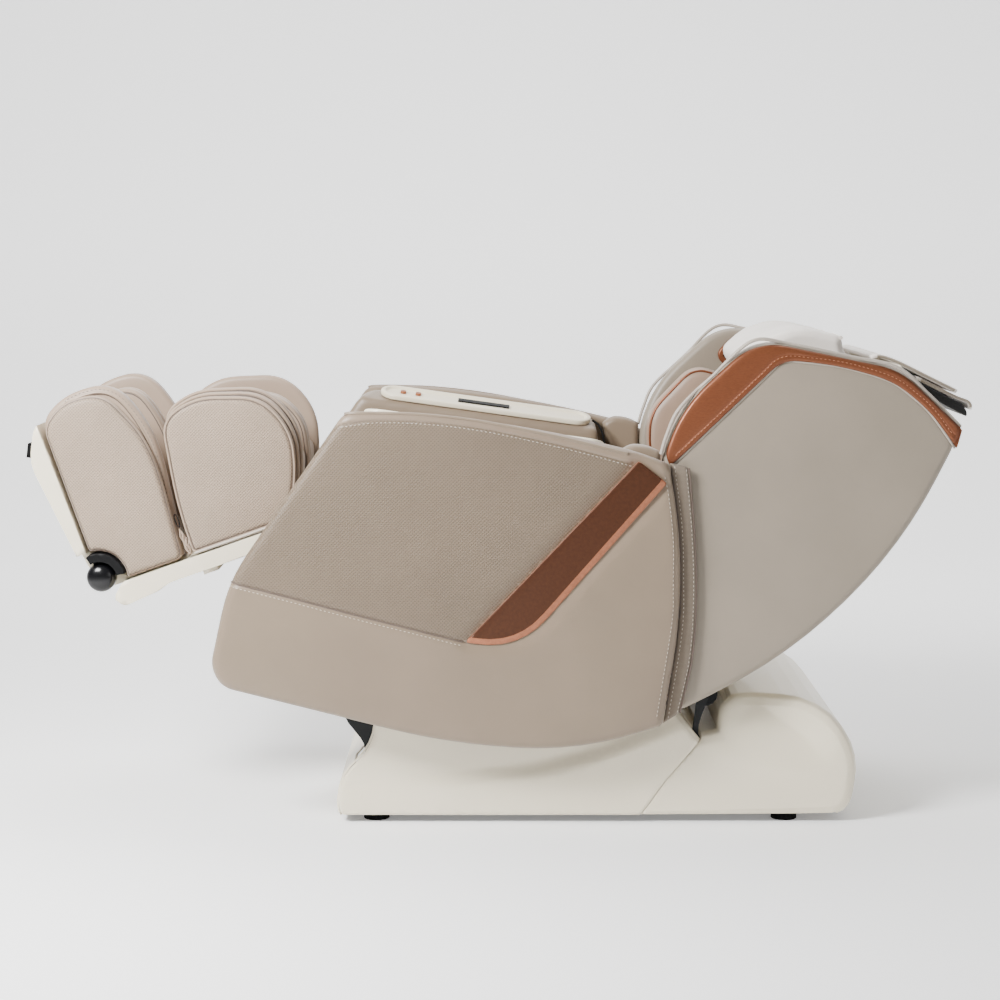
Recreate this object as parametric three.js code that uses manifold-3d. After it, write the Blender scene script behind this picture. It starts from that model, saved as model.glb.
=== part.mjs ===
// A reclining massage chair, stored in its zero-gravity pose: feet towards -X, head towards +X, the sitter's left
// side towards -Y, +Z up, millimetres. The origin is on the floor under the middle of the chair.
// A steel base carries the seat carriage on two curved rails and four rollers, so the whole seat tilts about a point
// above the sitter's lap. The backrest hinges on the carriage at the hip and the legrest at the knee.
import * as THREE from "three";
import { mergeVertices } from "three/addons/utils/BufferGeometryUtils.js";
import Module from "manifold-3d";

const wasm = await Module();
wasm.setup();

const DEGREES = Math.PI / 180;
const GAP = 0.3; // between faces that touch on the real chair
const MIDDLE_SHIFT = 24.14; // from the middle of the base to the middle of the whole chair
const LEAST_STRAIGHT = 6; // left between two rounded corners
const SIDES = { left: -1, right: 1 };

// ---- driving dimensions -------------------------------------------------------------------------------------------
const TILT_CENTRE = { x: 15, z: 850 }; // centre of the curved rails
const SKIRT_RADIUS = 690; // lower edge of the side panels
const RAIL_RADIUS = 672; // running face of the curved rails
const RAIL_HEIGHT = 30;
const RAIL_Y = [232, 242]; // inner and outer face of a rail, from the middle plane
const RAIL_SPAN = [-49, 33]; // degrees from straight down, + towards the head
const ROLLER_RADIUS = 25;
const ROLLER_ANGLES = { front: -27.5, rear: 30 };
const HIP = { x: 240, z: 360, lean: 44 }; // backrest hinge, and the back's angle above the horizontal
const KNEE = { x: -390, z: 593, drop: 19.5 }; // legrest hinge, and the legs' fall below the horizontal

const PANEL_Y = [330, 365]; // padded outer side of an arm
const ARM_PAD_Y = [246, 329.7];
const WING_Y = [287, 322];
const BAND_Y = [322 + GAP, 328];
const GUSSET_Y = [330.3, 338];
const BASE_HALF_WIDTH = 280;
const LEG_HALF_WIDTH = 225;
const SEAT_HALF_WIDTH = 229;
const BACK_HALF_WIDTH = 222;

const FOOT_PAD_HEIGHT = 20;
const COVER_WALL = 4;
const HINGE_HOLE_PLAY = 0.8; // radial room round a hinge pin, so that faceted rounds never touch

// ---- materials ----------------------------------------------------------------------------------------------------
const material = (colour, roughness, metalness = 0) =>
  new THREE.MeshStandardMaterial({ color: colour, roughness, metalness });
const LEATHER = material(0xa99c8f, 0.5);
const PALE_LEATHER = material(0xb9b2a8, 0.5);
const KNIT = material(0x9d9285, 0.9);
const COPPER = material(0x8c5538, 0.35, 0.6);
const CREAM = material(0xdcd6ca, 0.35);
const STEEL = material(0x2a2b2d, 0.5, 0.4);
const BLACK = material(0x141416, 0.5);
const RUBBER = material(0x1b1b1c, 0.9);

// ---- geometry helpers ---------------------------------------------------------------------------------------------

// A closed outline from corners [x, z, setback]: a corner with a setback is rounded by an arc that starts and ends
// that far from it. Two arcs on one edge are made smaller when they would not leave a straight piece between them,
// and an arc is made larger when an edge bevel would turn it inside out.
function roundedShape(corners, bevel = 0) {
  const points = corners.map(([x, z]) => new THREE.Vector2(x, z));
  const count = points.length;
  const after = (i) => (i + 1) % count;
  const onwards = points.map((point, i) => points[after(i)].clone().sub(point).normalize());
  const backwards = points.map((point, i) => onwards[(i + count - 1) % count].clone().negate());
  const halves = points.map((point, i) => Math.acos(backwards[i].dot(onwards[i])) / 2);
  const setbacks = corners.map(([, , setback = 0], i) =>
    setback && Math.max(setback, (bevel + 1) / Math.tan(halves[i])));
  points.forEach((point, i) => {
    const edge = point.distanceTo(points[after(i)]);
    const room = Math.max(edge - LEAST_STRAIGHT, 0.6 * edge);
    const wanted = setbacks[i] + setbacks[after(i)];
    if (wanted <= room) return;
    setbacks[i] *= room / wanted;
    setbacks[after(i)] *= room / wanted;
  });
  const shape = new THREE.Shape();
  points.forEach((corner, i) => {
    if (setbacks[i] === 0) {
      if (i === 0) shape.moveTo(corner.x, corner.y);
      else shape.lineTo(corner.x, corner.y);
      return;
    }
    const inwards = backwards[i].clone().add(onwards[i]).setLength(setbacks[i] / Math.cos(halves[i]));
    const start = backwards[i].clone().multiplyScalar(setbacks[i]).sub(inwards);
    const end = onwards[i].clone().multiplyScalar(setbacks[i]).sub(inwards);
    const clockwise = backwards[i].cross(onwards[i]) > 0;
    shape.absarc(corner.x + inwards.x, corner.y + inwards.y, start.length(), start.angle(), end.angle(), clockwise);
  });
  shape.closePath();
  return shape;
}

// A shape in the X-Z plane, extruded along Y between two faces, with its edges rounded by bevel.
function slab(shape, faces, bevel = 0, curveSegments = 1, bevelSegments = 1) {
  const [low, high] = [Math.min(...faces), Math.max(...faces)];
  const geometry = new THREE.ExtrudeGeometry(shape instanceof THREE.Shape ? shape : roundedShape(shape, bevel), {
    depth: high - low - 2 * bevel,
    bevelEnabled: bevel > 0,
    bevelThickness: bevel,
    bevelSize: bevel,
    bevelOffset: -bevel,
    bevelSegments,
    curveSegments,
  });
  return geometry.rotateX(Math.PI / 2).translate(0, high - bevel, 0);
}

// The faces of a piece on one side of the chair, from its distances to the middle plane.
const onSide = (side, faces) => faces.map((y) => side * y);

function box(xs, ys, zs) {
  const geometry = new THREE.BoxGeometry(xs[1] - xs[0], Math.abs(ys[1] - ys[0]), zs[1] - zs[0]);
  return geometry.translate((xs[0] + xs[1]) / 2, (ys[0] + ys[1]) / 2, (zs[0] + zs[1]) / 2);
}

// A round bar along Y.
function rod(x, z, radius, faces, segments = 14) {
  const length = Math.abs(faces[1] - faces[0]);
  return new THREE.CylinderGeometry(radius, radius, length, segments)
    .translate(x, (faces[0] + faces[1]) / 2, z);
}

// A turned piece about Y: profile points are [radius, y].
function turned(profile, x, z, segments = 24) {
  const points = profile.map(([radius, y]) => new THREE.Vector2(radius, y));
  return new THREE.LatheGeometry(points, segments).translate(x, 0, z);
}

// A band of a ring about the tilt centre, between two angles from straight down.
function railSector(inner, outer, degrees, faces, segments = 12) {
  const { x, z } = TILT_CENTRE;
  const [from, to] = degrees.map((angle) => (angle - 90) * DEGREES);
  const shape = new THREE.Shape();
  shape.absarc(x, z, outer, from, to, false);
  shape.absarc(x, z, inner, to, from, true);
  shape.closePath();
  return slab(shape, faces, 0, segments);
}

const pointOnRing = (radius, degrees) => ({
  x: TILT_CENTRE.x + radius * Math.sin(degrees * DEGREES),
  z: TILT_CENTRE.z - radius * Math.cos(degrees * DEGREES),
});

// ---- booleans -----------------------------------------------------------------------------------------------------

function solid(geometry) {
  const bare = geometry.index ? geometry.toNonIndexed() : geometry.clone();
  for (const name of Object.keys(bare.attributes)) {
    if (name !== "position") bare.deleteAttribute(name);
  }
  const merged = mergeVertices(bare, 1e-3);
  return new wasm.Manifold(new wasm.Mesh({
    numProp: 3,
    vertProperties: merged.attributes.position.array,
    triVerts: new Uint32Array(merged.index.array),
  }));
}

function geometryOf(manifold) {
  const mesh = manifold.getMesh();
  const geometry = new THREE.BufferGeometry()
    .setAttribute("position", new THREE.BufferAttribute(mesh.vertProperties, 3))
    .setIndex(new THREE.BufferAttribute(mesh.triVerts, 1));
  geometry.computeVertexNormals();
  return geometry;
}

const join = (...pieces) => geometryOf(pieces.map(solid).reduce((a, b) => a.add(b)));
const cut = (piece, ...tools) => geometryOf(tools.map(solid).reduce((a, b) => a.subtract(b), solid(piece)));

// ---- scene graph --------------------------------------------------------------------------------------------------

const chair = new THREE.Group();

// A group whose X axis runs along a leaning part of the chair, from its hinge.
function leaningGroup(hinge, degrees) {
  const group = new THREE.Group();
  group.position.set(hinge.x, 0, hinge.z);
  group.rotation.y = -degrees * DEGREES;
  chair.add(group);
  return group;
}

const back = leaningGroup(HIP, HIP.lean); // X up the back, Z towards the sitter
const leg = leaningGroup(KNEE, KNEE.drop); // X from the feet to the knee, Z up out of the legrest

function add(name, geometry, finish, parent = chair) {
  const mesh = new THREE.Mesh(geometry, finish);
  mesh.name = name;
  parent.add(mesh);
}

// ---- base ---------------------------------------------------------------------------------------------------------

const FRAME_TUBE = { y: [222, 252], z: [26, 66], x: [-290, 560] };
const BRACKET_Y = [254, 262];
const SHAFT_RADIUS = 7;

function baseFrame() {
  const pieces = [];
  for (const side of Object.values(SIDES)) {
    pieces.push(box(FRAME_TUBE.x, onSide(side, FRAME_TUBE.y), FRAME_TUBE.z));
    pieces.push(box(FRAME_TUBE.x, onSide(side, [252 - 2, BRACKET_Y[1]]), [30, 62]));
    for (const [end, reach] of [["front", 52], ["rear", -40]]) {
      const axle = pointOnRing(RAIL_RADIUS + ROLLER_RADIUS + GAP, ROLLER_ANGLES[end]);
      const foot = axle.x + reach;
      const plate = slab([[foot - 30, 30], [foot + 36, 30], [foot + 26, axle.z - 60, 20],
        [axle.x + 15, axle.z + 16, 14], [axle.x - 15, axle.z + 16, 14], [axle.x - 18, axle.z - 30, 14],
        [Math.max(foot - 30, axle.x - 25), axle.z - 80, 14]], onSide(side, BRACKET_Y));
      const hole = rod(axle.x, axle.z, SHAFT_RADIUS + HINGE_HOLE_PLAY, onSide(side, [250, 266]));
      pieces.push(cut(plate, hole));
    }
  }
  for (const x of [-270, 130, 530]) pieces.push(box([x - 15, x + 15], [-230, 230], [31, 61]));
  return join(...pieces);
}

// A shaft with a roller near each end, turned in one piece with its shoulders.
function rollerShaft(end) {
  const axle = pointOnRing(RAIL_RADIUS + ROLLER_RADIUS + GAP, ROLLER_ANGLES[end]);
  const half = [[SHAFT_RADIUS, 266], [SHAFT_RADIUS, 249.5], [ROLLER_RADIUS, 249.5], [ROLLER_RADIUS, 225.5],
    [SHAFT_RADIUS, 225.5]];
  const mirrored = half.map(([radius, y]) => [radius, -y]).reverse();
  return turned([[0, 266], ...half, ...mirrored, [0, -266]].reverse(), axle.x, axle.z, 18);
}

const COVER_TOP_RADIUS = 685;
const COVER_BOTTOM = 20;

const COVER_SPLIT = { foot: [219.4, 0], head: [354, 162], seam: 1.5 };

// The outlines reach past the slanted split between the two covers, where both are cut off, open to each other.
function frontCoverShape(inset) {
  const { x, z } = TILT_CENTRE;
  const top = COVER_TOP_RADIUS + inset;
  const from = -Math.PI / 2 - Math.asin((262 + x - inset) / top);
  const to = -Math.PI / 2 + Math.asin((300 - x - inset) / top);
  const bottom = COVER_BOTTOM - 3 * inset;
  const shape = new THREE.Shape();
  shape.moveTo(-326 + inset, bottom);
  shape.quadraticCurveTo(-340 + inset, 22, -339 + inset, 52);
  shape.quadraticCurveTo(-336 + inset, 92, -301 + inset, 123);
  shape.quadraticCurveTo(-272 + inset, 152, -268 + inset, 190);
  shape.absarc(x, z, top, from, to, false);
  shape.lineTo(354 - inset, 162 - inset);
  shape.lineTo(400 + inset, 162 - inset);
  shape.lineTo(400 + inset, bottom);
  shape.closePath();
  return shape;
}

function frontCover() {
  const half = BASE_HALF_WIDTH;
  const { foot, head } = COVER_SPLIT;
  const shell = slab(frontCoverShape(0), [-half, half], 8, 4);
  const inside = slab(frontCoverShape(COVER_WALL), [-half + COVER_WALL, half - COVER_WALL], 0, 4);
  const pastSplit = slab([foot, [450, 0], [450, head[1]], head], [-300, 300]);
  const slots = Object.values(SIDES).flatMap((side) => [
    box([-360, -215], onSide(side, [218, 268]), [118, 280]),
    box([290, 380], onSide(side, [218, 268]), [60, 280])]);
  return cut(shell, inside, pastSplit, ...slots, box([290, 380], [-60, 60], [90, 280]));
}

const REAR_COVER_OUTER = [[190, 20], [330, 168], [388, 178], [396, 242, 34], [585, 242, 70], [664, 130, 60],
  [640, 20, 34]];
const REAR_COVER_INNER = [[150, 5], [330, 160], [366, 162], [398, 172], [402, 235], [520, 235],
  [560, 225], [604, 194], [640, 146],
  [650, 60], [620, 5]];

function rearCover() {
  const half = BASE_HALF_WIDTH;
  const { foot, head, seam } = COVER_SPLIT;
  const shell = slab(REAR_COVER_OUTER, [-half, half], 20, 2, 2);
  const inside = slab(REAR_COVER_INNER, [-half + 5, half - 5], 16);
  const pastSplit = slab([[100, 0], [foot[0] + seam, 0], [head[0] + seam, head[1]], [head[0] + seam, 300],
    [100, 300]], [-300, 300]);
  return cut(shell, inside, pastSplit);
}

function addBase() {
  add("base_frame", baseFrame(), STEEL);
  add("base_cover_front", frontCover(), CREAM);
  add("base_cover_rear", rearCover(), CREAM);
  for (const [sideName, side] of Object.entries(SIDES)) {
    for (const [end, x] of [["front", -265], ["rear", 520]]) {
      const pad = new THREE.CylinderGeometry(24, 25, FOOT_PAD_HEIGHT, 16).rotateX(Math.PI / 2)
        .translate(x, side * 237, FOOT_PAD_HEIGHT / 2);
      const stud = new THREE.CylinderGeometry(6, 6, 8, 8).rotateX(Math.PI / 2)
        .translate(x, side * 237, FOOT_PAD_HEIGHT + 1.7);
      add(`foot_${end}_${sideName}`, join(pad, stud), RUBBER);
    }
  }
  add("front_roller_shaft", rollerShaft("front"), STEEL);
  add("rear_roller_shaft", rollerShaft("rear"), STEEL);

  const axle = pointOnRing(RAIL_RADIUS + ROLLER_RADIUS + GAP, ROLLER_ANGLES.rear);
  const housing = join(
    slab([[axle.x - 25, axle.z - 26, 8], [axle.x + 22, axle.z - 26, 8], [axle.x + 22, axle.z + 22, 8],
      [axle.x - 25, axle.z + 22, 8]], [-45, 45]),
    slab([[axle.x - 62, 66.5], [axle.x - 22, 66.5], [axle.x - 8, axle.z - 20, 10], [axle.x - 24, axle.z - 10, 10]],
      [-20, 20]));
  const shaftHole = rod(axle.x, axle.z, SHAFT_RADIUS + HINGE_HOLE_PLAY, [-60, 60]);
  add("tilt_gearmotor", cut(housing, shaftHole), BLACK);
  add("control_box", box([85, 175], [-110, 110], [61 + GAP, 120]), STEEL);
}

// The mains inlet sits on the rounded back of the rear cover, with a rocker switch on it.
const INLET = { x: 655, z: 112, lean: 6, halfWidth: 48, thickness: 4 };
const ROCKER = { middle: 24, halfWidth: 8, halfHeight: 11 };

function addInlet() {
  const plate = new THREE.Group();
  plate.position.set(INLET.x, 0, INLET.z);
  plate.rotation.y = -INLET.lean * DEGREES;
  chair.add(plate);
  const front = INLET.thickness;
  const { middle, halfHeight, halfWidth } = ROCKER;
  const socket = join(box([0, front], [-INLET.halfWidth, INLET.halfWidth], [-20, 20]),
    box([front - 1, front + 6], [-36, -4], [-13, 13]));
  const pocket = box([1, front + 1], [middle - halfWidth - 1, middle + halfWidth + 1],
    [-halfHeight - 1, halfHeight + 1]);
  add("power_inlet", cut(socket, pocket), BLACK, plate);
  add("power_switch", slab([[front - 1, -halfHeight], [front - 1, halfHeight], [front + 4, halfHeight - 1],
    [front + 2.5, 0], [front + 4, 1 - halfHeight]], [middle - halfWidth, middle + halfWidth]), BLACK, plate);
}

// ---- seat carriage ------------------------------------------------------------------------------------------------

const KNEE_PIN = 10;
const HIP_PIN = 12;
const SEAT_PAN_THICKNESS = 6;
const TUBE_RADIUS = 11;
const UNDERPAN_SPAN = [-31, 20]; // degrees, as for the rails
const FRONT_TUBE = { x: -345, z: 530 };
const REAR_TUBE = { x: 195, z: 285 };

function seatFrame() {
  const pieces = [];
  for (const side of Object.values(SIDES)) {
    const faces = onSide(side, RAIL_Y);
    const kneePlate = slab([[KNEE.x - 24, KNEE.z + 10, 16], [KNEE.x + 10, KNEE.z + 24, 16], [-296, 580, 16],
      [-280, 480, 30], [-250, 250], [-330, 300], [-442, 408, 8], [KNEE.x - 30, 470, 30]], faces);
    const hipPlate = slab([[HIP.x - 26, HIP.z + 8, 18], [HIP.x + 4, HIP.z + 28, 18], [HIP.x + 26, HIP.z - 10, 18],
      [HIP.x + 20, 262], [HIP.x - 120, 210], [HIP.x - 112, 312, 20]], faces);
    pieces.push(railSector(RAIL_RADIUS - RAIL_HEIGHT, RAIL_RADIUS, RAIL_SPAN, faces));
    pieces.push(cut(kneePlate, rod(KNEE.x, KNEE.z, KNEE_PIN + HINGE_HOLE_PLAY, onSide(side, [225, 250]))));
    pieces.push(cut(hipPlate, rod(HIP.x, HIP.z, HIP_PIN + HINGE_HOLE_PLAY, onSide(side, [225, 250]))));
  }
  const reach = RAIL_Y[1] - 2;
  for (const degrees of [-35.5, -8, 14]) {
    const tube = pointOnRing(RAIL_RADIUS - RAIL_HEIGHT / 2, degrees);
    const half = degrees < 0 ? PANEL_Y[0] - GAP : reach;
    pieces.push(rod(tube.x, tube.z, TUBE_RADIUS, [-half, half], 12));
  }
  for (const tube of [FRONT_TUBE, REAR_TUBE]) pieces.push(rod(tube.x, tube.z, TUBE_RADIUS, [-reach, reach], 12));
  const [, , rear, front] = SEAT_OUTLINE.map(([x, z]) => [x, z - GAP]);
  pieces.push(slab([rear, front, [front[0], front[1] - SEAT_PAN_THICKNESS], [rear[0], rear[1] - SEAT_PAN_THICKNESS]],
    [-reach, reach]));
  pieces.push(railSector(640, 645, UNDERPAN_SPAN, [-reach, reach], 5));
  return join(...pieces);
}

// A gear motor round a hinge shaft, held by a bracket that clasps a cross tube of the seat frame.
function gearMotor(hinge, shaftRadius, drumRadius, tube) {
  const along = new THREE.Vector2(tube.x - hinge.x, tube.z - hinge.z);
  const across = new THREE.Vector2(-along.y, along.x).setLength(14);
  const end = along.clone().setLength(along.length() + 18);
  const bracket = slab([[hinge.x + across.x, hinge.z + across.y], [hinge.x - across.x, hinge.z - across.y],
    [hinge.x + end.x - across.x, hinge.z + end.y - across.y, 8],
    [hinge.x + end.x + across.x, hinge.z + end.y + across.y, 8]], [-20, 20]);
  return cut(join(rod(hinge.x, hinge.z, drumRadius, [-48, 48]), bracket),
    rod(hinge.x, hinge.z, shaftRadius + HINGE_HOLE_PLAY, [-60, 60]),
    rod(tube.x, tube.z, TUBE_RADIUS + GAP, [-30, 30], 12));
}

// Outline of the padded arm side: the front edge leans back, the lower edge follows the tilt circle.
const ARM_REAR_EDGE = [[284, 697, 8], [306, 560, 100], [306, 400, 100], [276, 207, 5]];
const ARM_OUTLINE = [[-312, 793, 20], [-180, 792, 70], [40, 764, 120], [225, 720, 32], ...ARM_REAR_EDGE,
  [125, 157, 130], [-120, 171, 130], [-545, 279, 30], [-566, 318, 30], [-530, 478, 60]];

const TRIM_OUTLINE = [[227, 704, 2], [279, 663, 2], [8, 352, 80], [-92, 367, 6]];
const TRIM_POCKET_OUTLINE = [[226, 708], [286, 662], [8, 350, 80], [-97, 366]];
const TRIM_Y = [352, 368];

function sidePanel(side) {
  return cut(slab(ARM_OUTLINE, onSide(side, PANEL_Y), 14, 2, 2),
    slab(TRIM_POCKET_OUTLINE, onSide(side, [TRIM_Y[0], 380])));
}

// The strip of knit that closes the gap between an arm and its wing.
const GUSSET_OUTLINE = [[278, 207.5], [307, 226, 4], [331, 333, 60], [338, 446, 60], [333, 560, 60], [319, 690, 4],
  [286, 697.5], [308, 560, 100], [308, 400, 100]];

// The tray lies on the arm's top, sloping down to the hip and rolled inwards, towards the sitter.
const TRAY = { x: -58, y: 284, z: 749, slope: 7.9, roll: 13, length: 452, width: 72, thickness: 12 };
const KEY_PLACES = { key_power: -178, key_programme: -146 };
const KEY_RADIUS = 6;

function trayGroup(side) {
  const group = new THREE.Group();
  group.position.set(TRAY.x, side * TRAY.y, TRAY.z);
  group.rotation.set(side * TRAY.roll * DEGREES, TRAY.slope * DEGREES, 0, "YXZ");
  chair.add(group);
  group.updateMatrixWorld(true);
  return group;
}

function tray(hasKeypad) {
  const half = TRAY.length / 2;
  const across = TRAY.width / 2;
  const board = new THREE.Shape();
  board.absarc(half - across, 0, across, -Math.PI / 2, Math.PI / 2, false);
  board.absarc(-half + across, 0, across, Math.PI / 2, 1.5 * Math.PI, false);
  const plate = new THREE.ExtrudeGeometry(board, { depth: TRAY.thickness, bevelEnabled: false, curveSegments: 6 });
  const dish = box([-half + 24, half - 24], [-across + 12, across - 12], [TRAY.thickness - 4, TRAY.thickness + 5]);
  if (!hasKeypad) return cut(plate, dish);
  const wells = Object.values(KEY_PLACES).map((x) =>
    new THREE.CylinderGeometry(KEY_RADIUS + 0.8, KEY_RADIUS + 0.8, 8, 16).rotateX(Math.PI / 2)
      .translate(x, 0, TRAY.thickness - 5));
  return cut(plate, dish, ...wells);
}

function armPad(side, place) {
  const pad = slab([[-318, 786, 25], [-190, 784, 60], [40, 757, 100], [176, 730, 20], [188, 610, 60], [186, 455, 40],
    [-470, 455, 40], [-508, 500, 30]], onSide(side, ARM_PAD_Y), 6);
  const above = box([-600, 600], [-120, 120], [-GAP, 120]).applyMatrix4(place.matrixWorld);
  return cut(pad, above);
}

const SEAT_OUTLINE = [[-345, 684, 35], [203, 420, 25], [178, 330, 20], [-318, 570, 20]];

const CORD_POINTS = [[170.5, 284, 722.5], [180, 278, 717], [188, 266, 706], [193, 254, 688], [195, 247, 660],
  [196, 246, 560], [200, 245.2, 420], [222, 245.2, 345]];

function addCarriage() {
  add("seat_frame", seatFrame(), STEEL);
  add("seat_cushion", slab(SEAT_OUTLINE, [-SEAT_HALF_WIDTH, SEAT_HALF_WIDTH], 12), LEATHER);
  add("knee_gearmotor", gearMotor(KNEE, KNEE_PIN, 24, FRONT_TUBE), BLACK);
  add("hip_gearmotor", gearMotor(HIP, HIP_PIN, 26, REAR_TUBE), BLACK);
  for (const [sideName, side] of Object.entries(SIDES)) {
    add(`arm_panel_${sideName}`, sidePanel(side), LEATHER);
    add(`arm_trim_${sideName}`, slab(TRIM_OUTLINE, onSide(side, [TRIM_Y[0] + GAP, TRIM_Y[1]]), 2), COPPER);
    add(`gusset_${sideName}`, slab(GUSSET_OUTLINE, onSide(side, GUSSET_Y)), KNIT);
    const place = trayGroup(side);
    add(`armrest_pad_${sideName}`, armPad(side, place), LEATHER);
    add(`armrest_tray_${sideName}`, tray(side > 0), CREAM, place);
    if (side > 0) addKeypad(place);
  }
  const route = new THREE.CatmullRomCurve3(CORD_POINTS.map((point) => new THREE.Vector3(...point)));
  const section = new THREE.Shape().absarc(0, 0, 2.5, 0, 2 * Math.PI);
  add("remote_cord", new THREE.ExtrudeGeometry(section, { extrudePath: route, steps: 24, curveSegments: 3 }), BLACK);
}

function addKeypad(place) {
  const floor = TRAY.thickness - 4 + GAP;
  add("keypad_display", box([-60, 50], [-9, 9], [floor, floor + 3]), BLACK, place);
  for (const [name, x] of Object.entries(KEY_PLACES)) {
    add(name, new THREE.CylinderGeometry(KEY_RADIUS, KEY_RADIUS, 6, 16).rotateX(Math.PI / 2)
      .translate(x, 0, floor + 2), COPPER, place);
  }
}

// ---- backrest, drawn along the back from the hip ------------------------------------------------------------------

const WING_OUTLINE = [[262, 226, 30], [350, 273, 75], [540, 269, 62], [694, 42, 45], [702, -122, 16],
  [470, -206, 160], [180, -212, 160], [-42, -146, 12], [28, -30, 20]];
const BAND_OUTLINE = [[264, 204], [270, 226, 14], [352, 269, 72], [537, 265, 60], [690, 40, 42], [698, -121],
  [667, -142], [677, -60, 50], [664, 28, 50], [522, 217, 50]];
const SHOULDER_PAD_OUTLINE = [[238, 50, 30], [232, 178, 40], [300, 246, 40], [440, 252, 40], [474, 180, 30],
  [474, 50, 20]];
const SPEAKER_OUTLINE = [[488, 158, 18], [484, 232, 24], [556, 232, 24], [606, 158, 24], [580, 136, 18],
  [510, 136, 18]];
const BACK_CUSHION_OUTLINE = [[47, 36, 12], [200, 40, 60], [420, 30, 60], [690, 30, 15], [690, -24, 10],
  [47, -24, 10]];
const PILLOW_OUTLINE = [[540, 40, 25], [488, 200, 30], [502, 240, 14], [572, 239, 30], [624, 207, 20], [666, 143, 4],
  [648, 118, 10], [652, 42, 20]];
const FLAP_OUTLINE = [[686, 76, 6], [702, 64, 8], [714, 33, 14], [738, -27, 30], [766, -108, 14], [762, -130, 8],
  [736, -141, 8], [712, -74, 20], [699.4, -20, 6], [699.4, 42], [690.6, 48, 4]];
const BACK_SHELL_OUTER = [[96, -166], [180, -186, 60], [470, -182, 120], [640, -136, 40], [699, -100, 24], [699, 40]];
const SHELL_WALL = 6;

function backFrame() {
  const pieces = [];
  for (const side of Object.values(SIDES)) {
    const faces = onSide(side, [214, 226]);
    pieces.push(slab([[-22, -18, 6], [-14, 22, 14], [14, 24, 14], [44, -28, 10], [688, -28, 4], [688, -92, 30],
      [640, -126, 40], [120, -158, 40], [40, -112, 30]], faces));
    pieces.push(box([40, 660], onSide(side, [196, 216]), [-112, -100])); // track flange
  }
  pieces.push(rod(0, 0, HIP_PIN, [-244, 244]));
  const reach = WING_Y[0] - GAP;
  for (const [x, z] of [[80, -80], [640, -70]]) pieces.push(rod(x, z, TUBE_RADIUS, [-reach, reach], 12));
  return join(...pieces);
}

// A wall that follows the rear of the back and turns over its top end, between the wings.
function backShell() {
  const inner = BACK_SHELL_OUTER.map(([x, z, setback]) =>
    [x >= 699 ? x - SHELL_WALL : x, x >= 699 ? z : z + SHELL_WALL + 1, setback]).reverse();
  return slab([...BACK_SHELL_OUTER, ...inner], [-WING_Y[0] + GAP * 2, WING_Y[0] - GAP * 2]);
}

// ---- massage carriage, inside the back ----------------------------------------------------------------------------

const CARRIAGE_X = 300;
const ARM_PIVOT_Z = -82;
const ARM_PIN = 6;
const MASSAGE_ROLLER = { radius: 24, reach: 60, z: -64, y: [24, 48], bore: 6.5 };

function massageCarriage() {
  const pieces = [box([CARRIAGE_X - 34, CARRIAGE_X + 34], [-208, 208], [-99.7, -96]),
    box([CARRIAGE_X - 34, CARRIAGE_X + 34], [-150, 150], [-132, -98])];
  for (const side of Object.values(SIDES)) {
    const lug = slab([[CARRIAGE_X - 14, -98], [CARRIAGE_X + 14, -98], [CARRIAGE_X + 14, -70, 10],
      [CARRIAGE_X - 14, -70, 10]], onSide(side, [64, 74]));
    const hole = rod(CARRIAGE_X, ARM_PIVOT_Z, ARM_PIN + HINGE_HOLE_PLAY, onSide(side, [60, 80]), 12);
    pieces.push(cut(lug, hole));
  }
  return join(...pieces);
}

function massageArms() {
  const { reach, z, y, bore } = MASSAGE_ROLLER;
  const arms = Object.values(SIDES).flatMap((side) => [
    slab([[CARRIAGE_X - reach - 12, z - 4, 10], [CARRIAGE_X - reach, z + 14, 10], [CARRIAGE_X, z - 2, 30],
      [CARRIAGE_X + reach, z + 14, 10], [CARRIAGE_X + reach + 12, z - 4, 10], [CARRIAGE_X + 14, ARM_PIVOT_Z - 10, 8],
      [CARRIAGE_X - 14, ARM_PIVOT_Z - 10, 8]], onSide(side, [52, 60])),
    rod(CARRIAGE_X - reach, z, bore - 1, onSide(side, [y[0], 54]), 8),
    rod(CARRIAGE_X + reach, z, bore - 1, onSide(side, [y[0], 54]), 8)]);
  return join(rod(CARRIAGE_X, ARM_PIVOT_Z, ARM_PIN, [-73, 73], 12), ...arms);
}

function massageRoller(side, along) {
  const { radius, reach, z, y, bore } = MASSAGE_ROLLER;
  const [inner, outer] = onSide(side, y).sort((a, b) => a - b);
  const profile = [[bore, inner], [radius - 7, inner], [radius, inner + 7], [radius, outer - 7], [radius - 7, outer],
    [bore, outer], [bore, inner]];
  return turned(profile, CARRIAGE_X + along * reach, z, 12);
}

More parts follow.
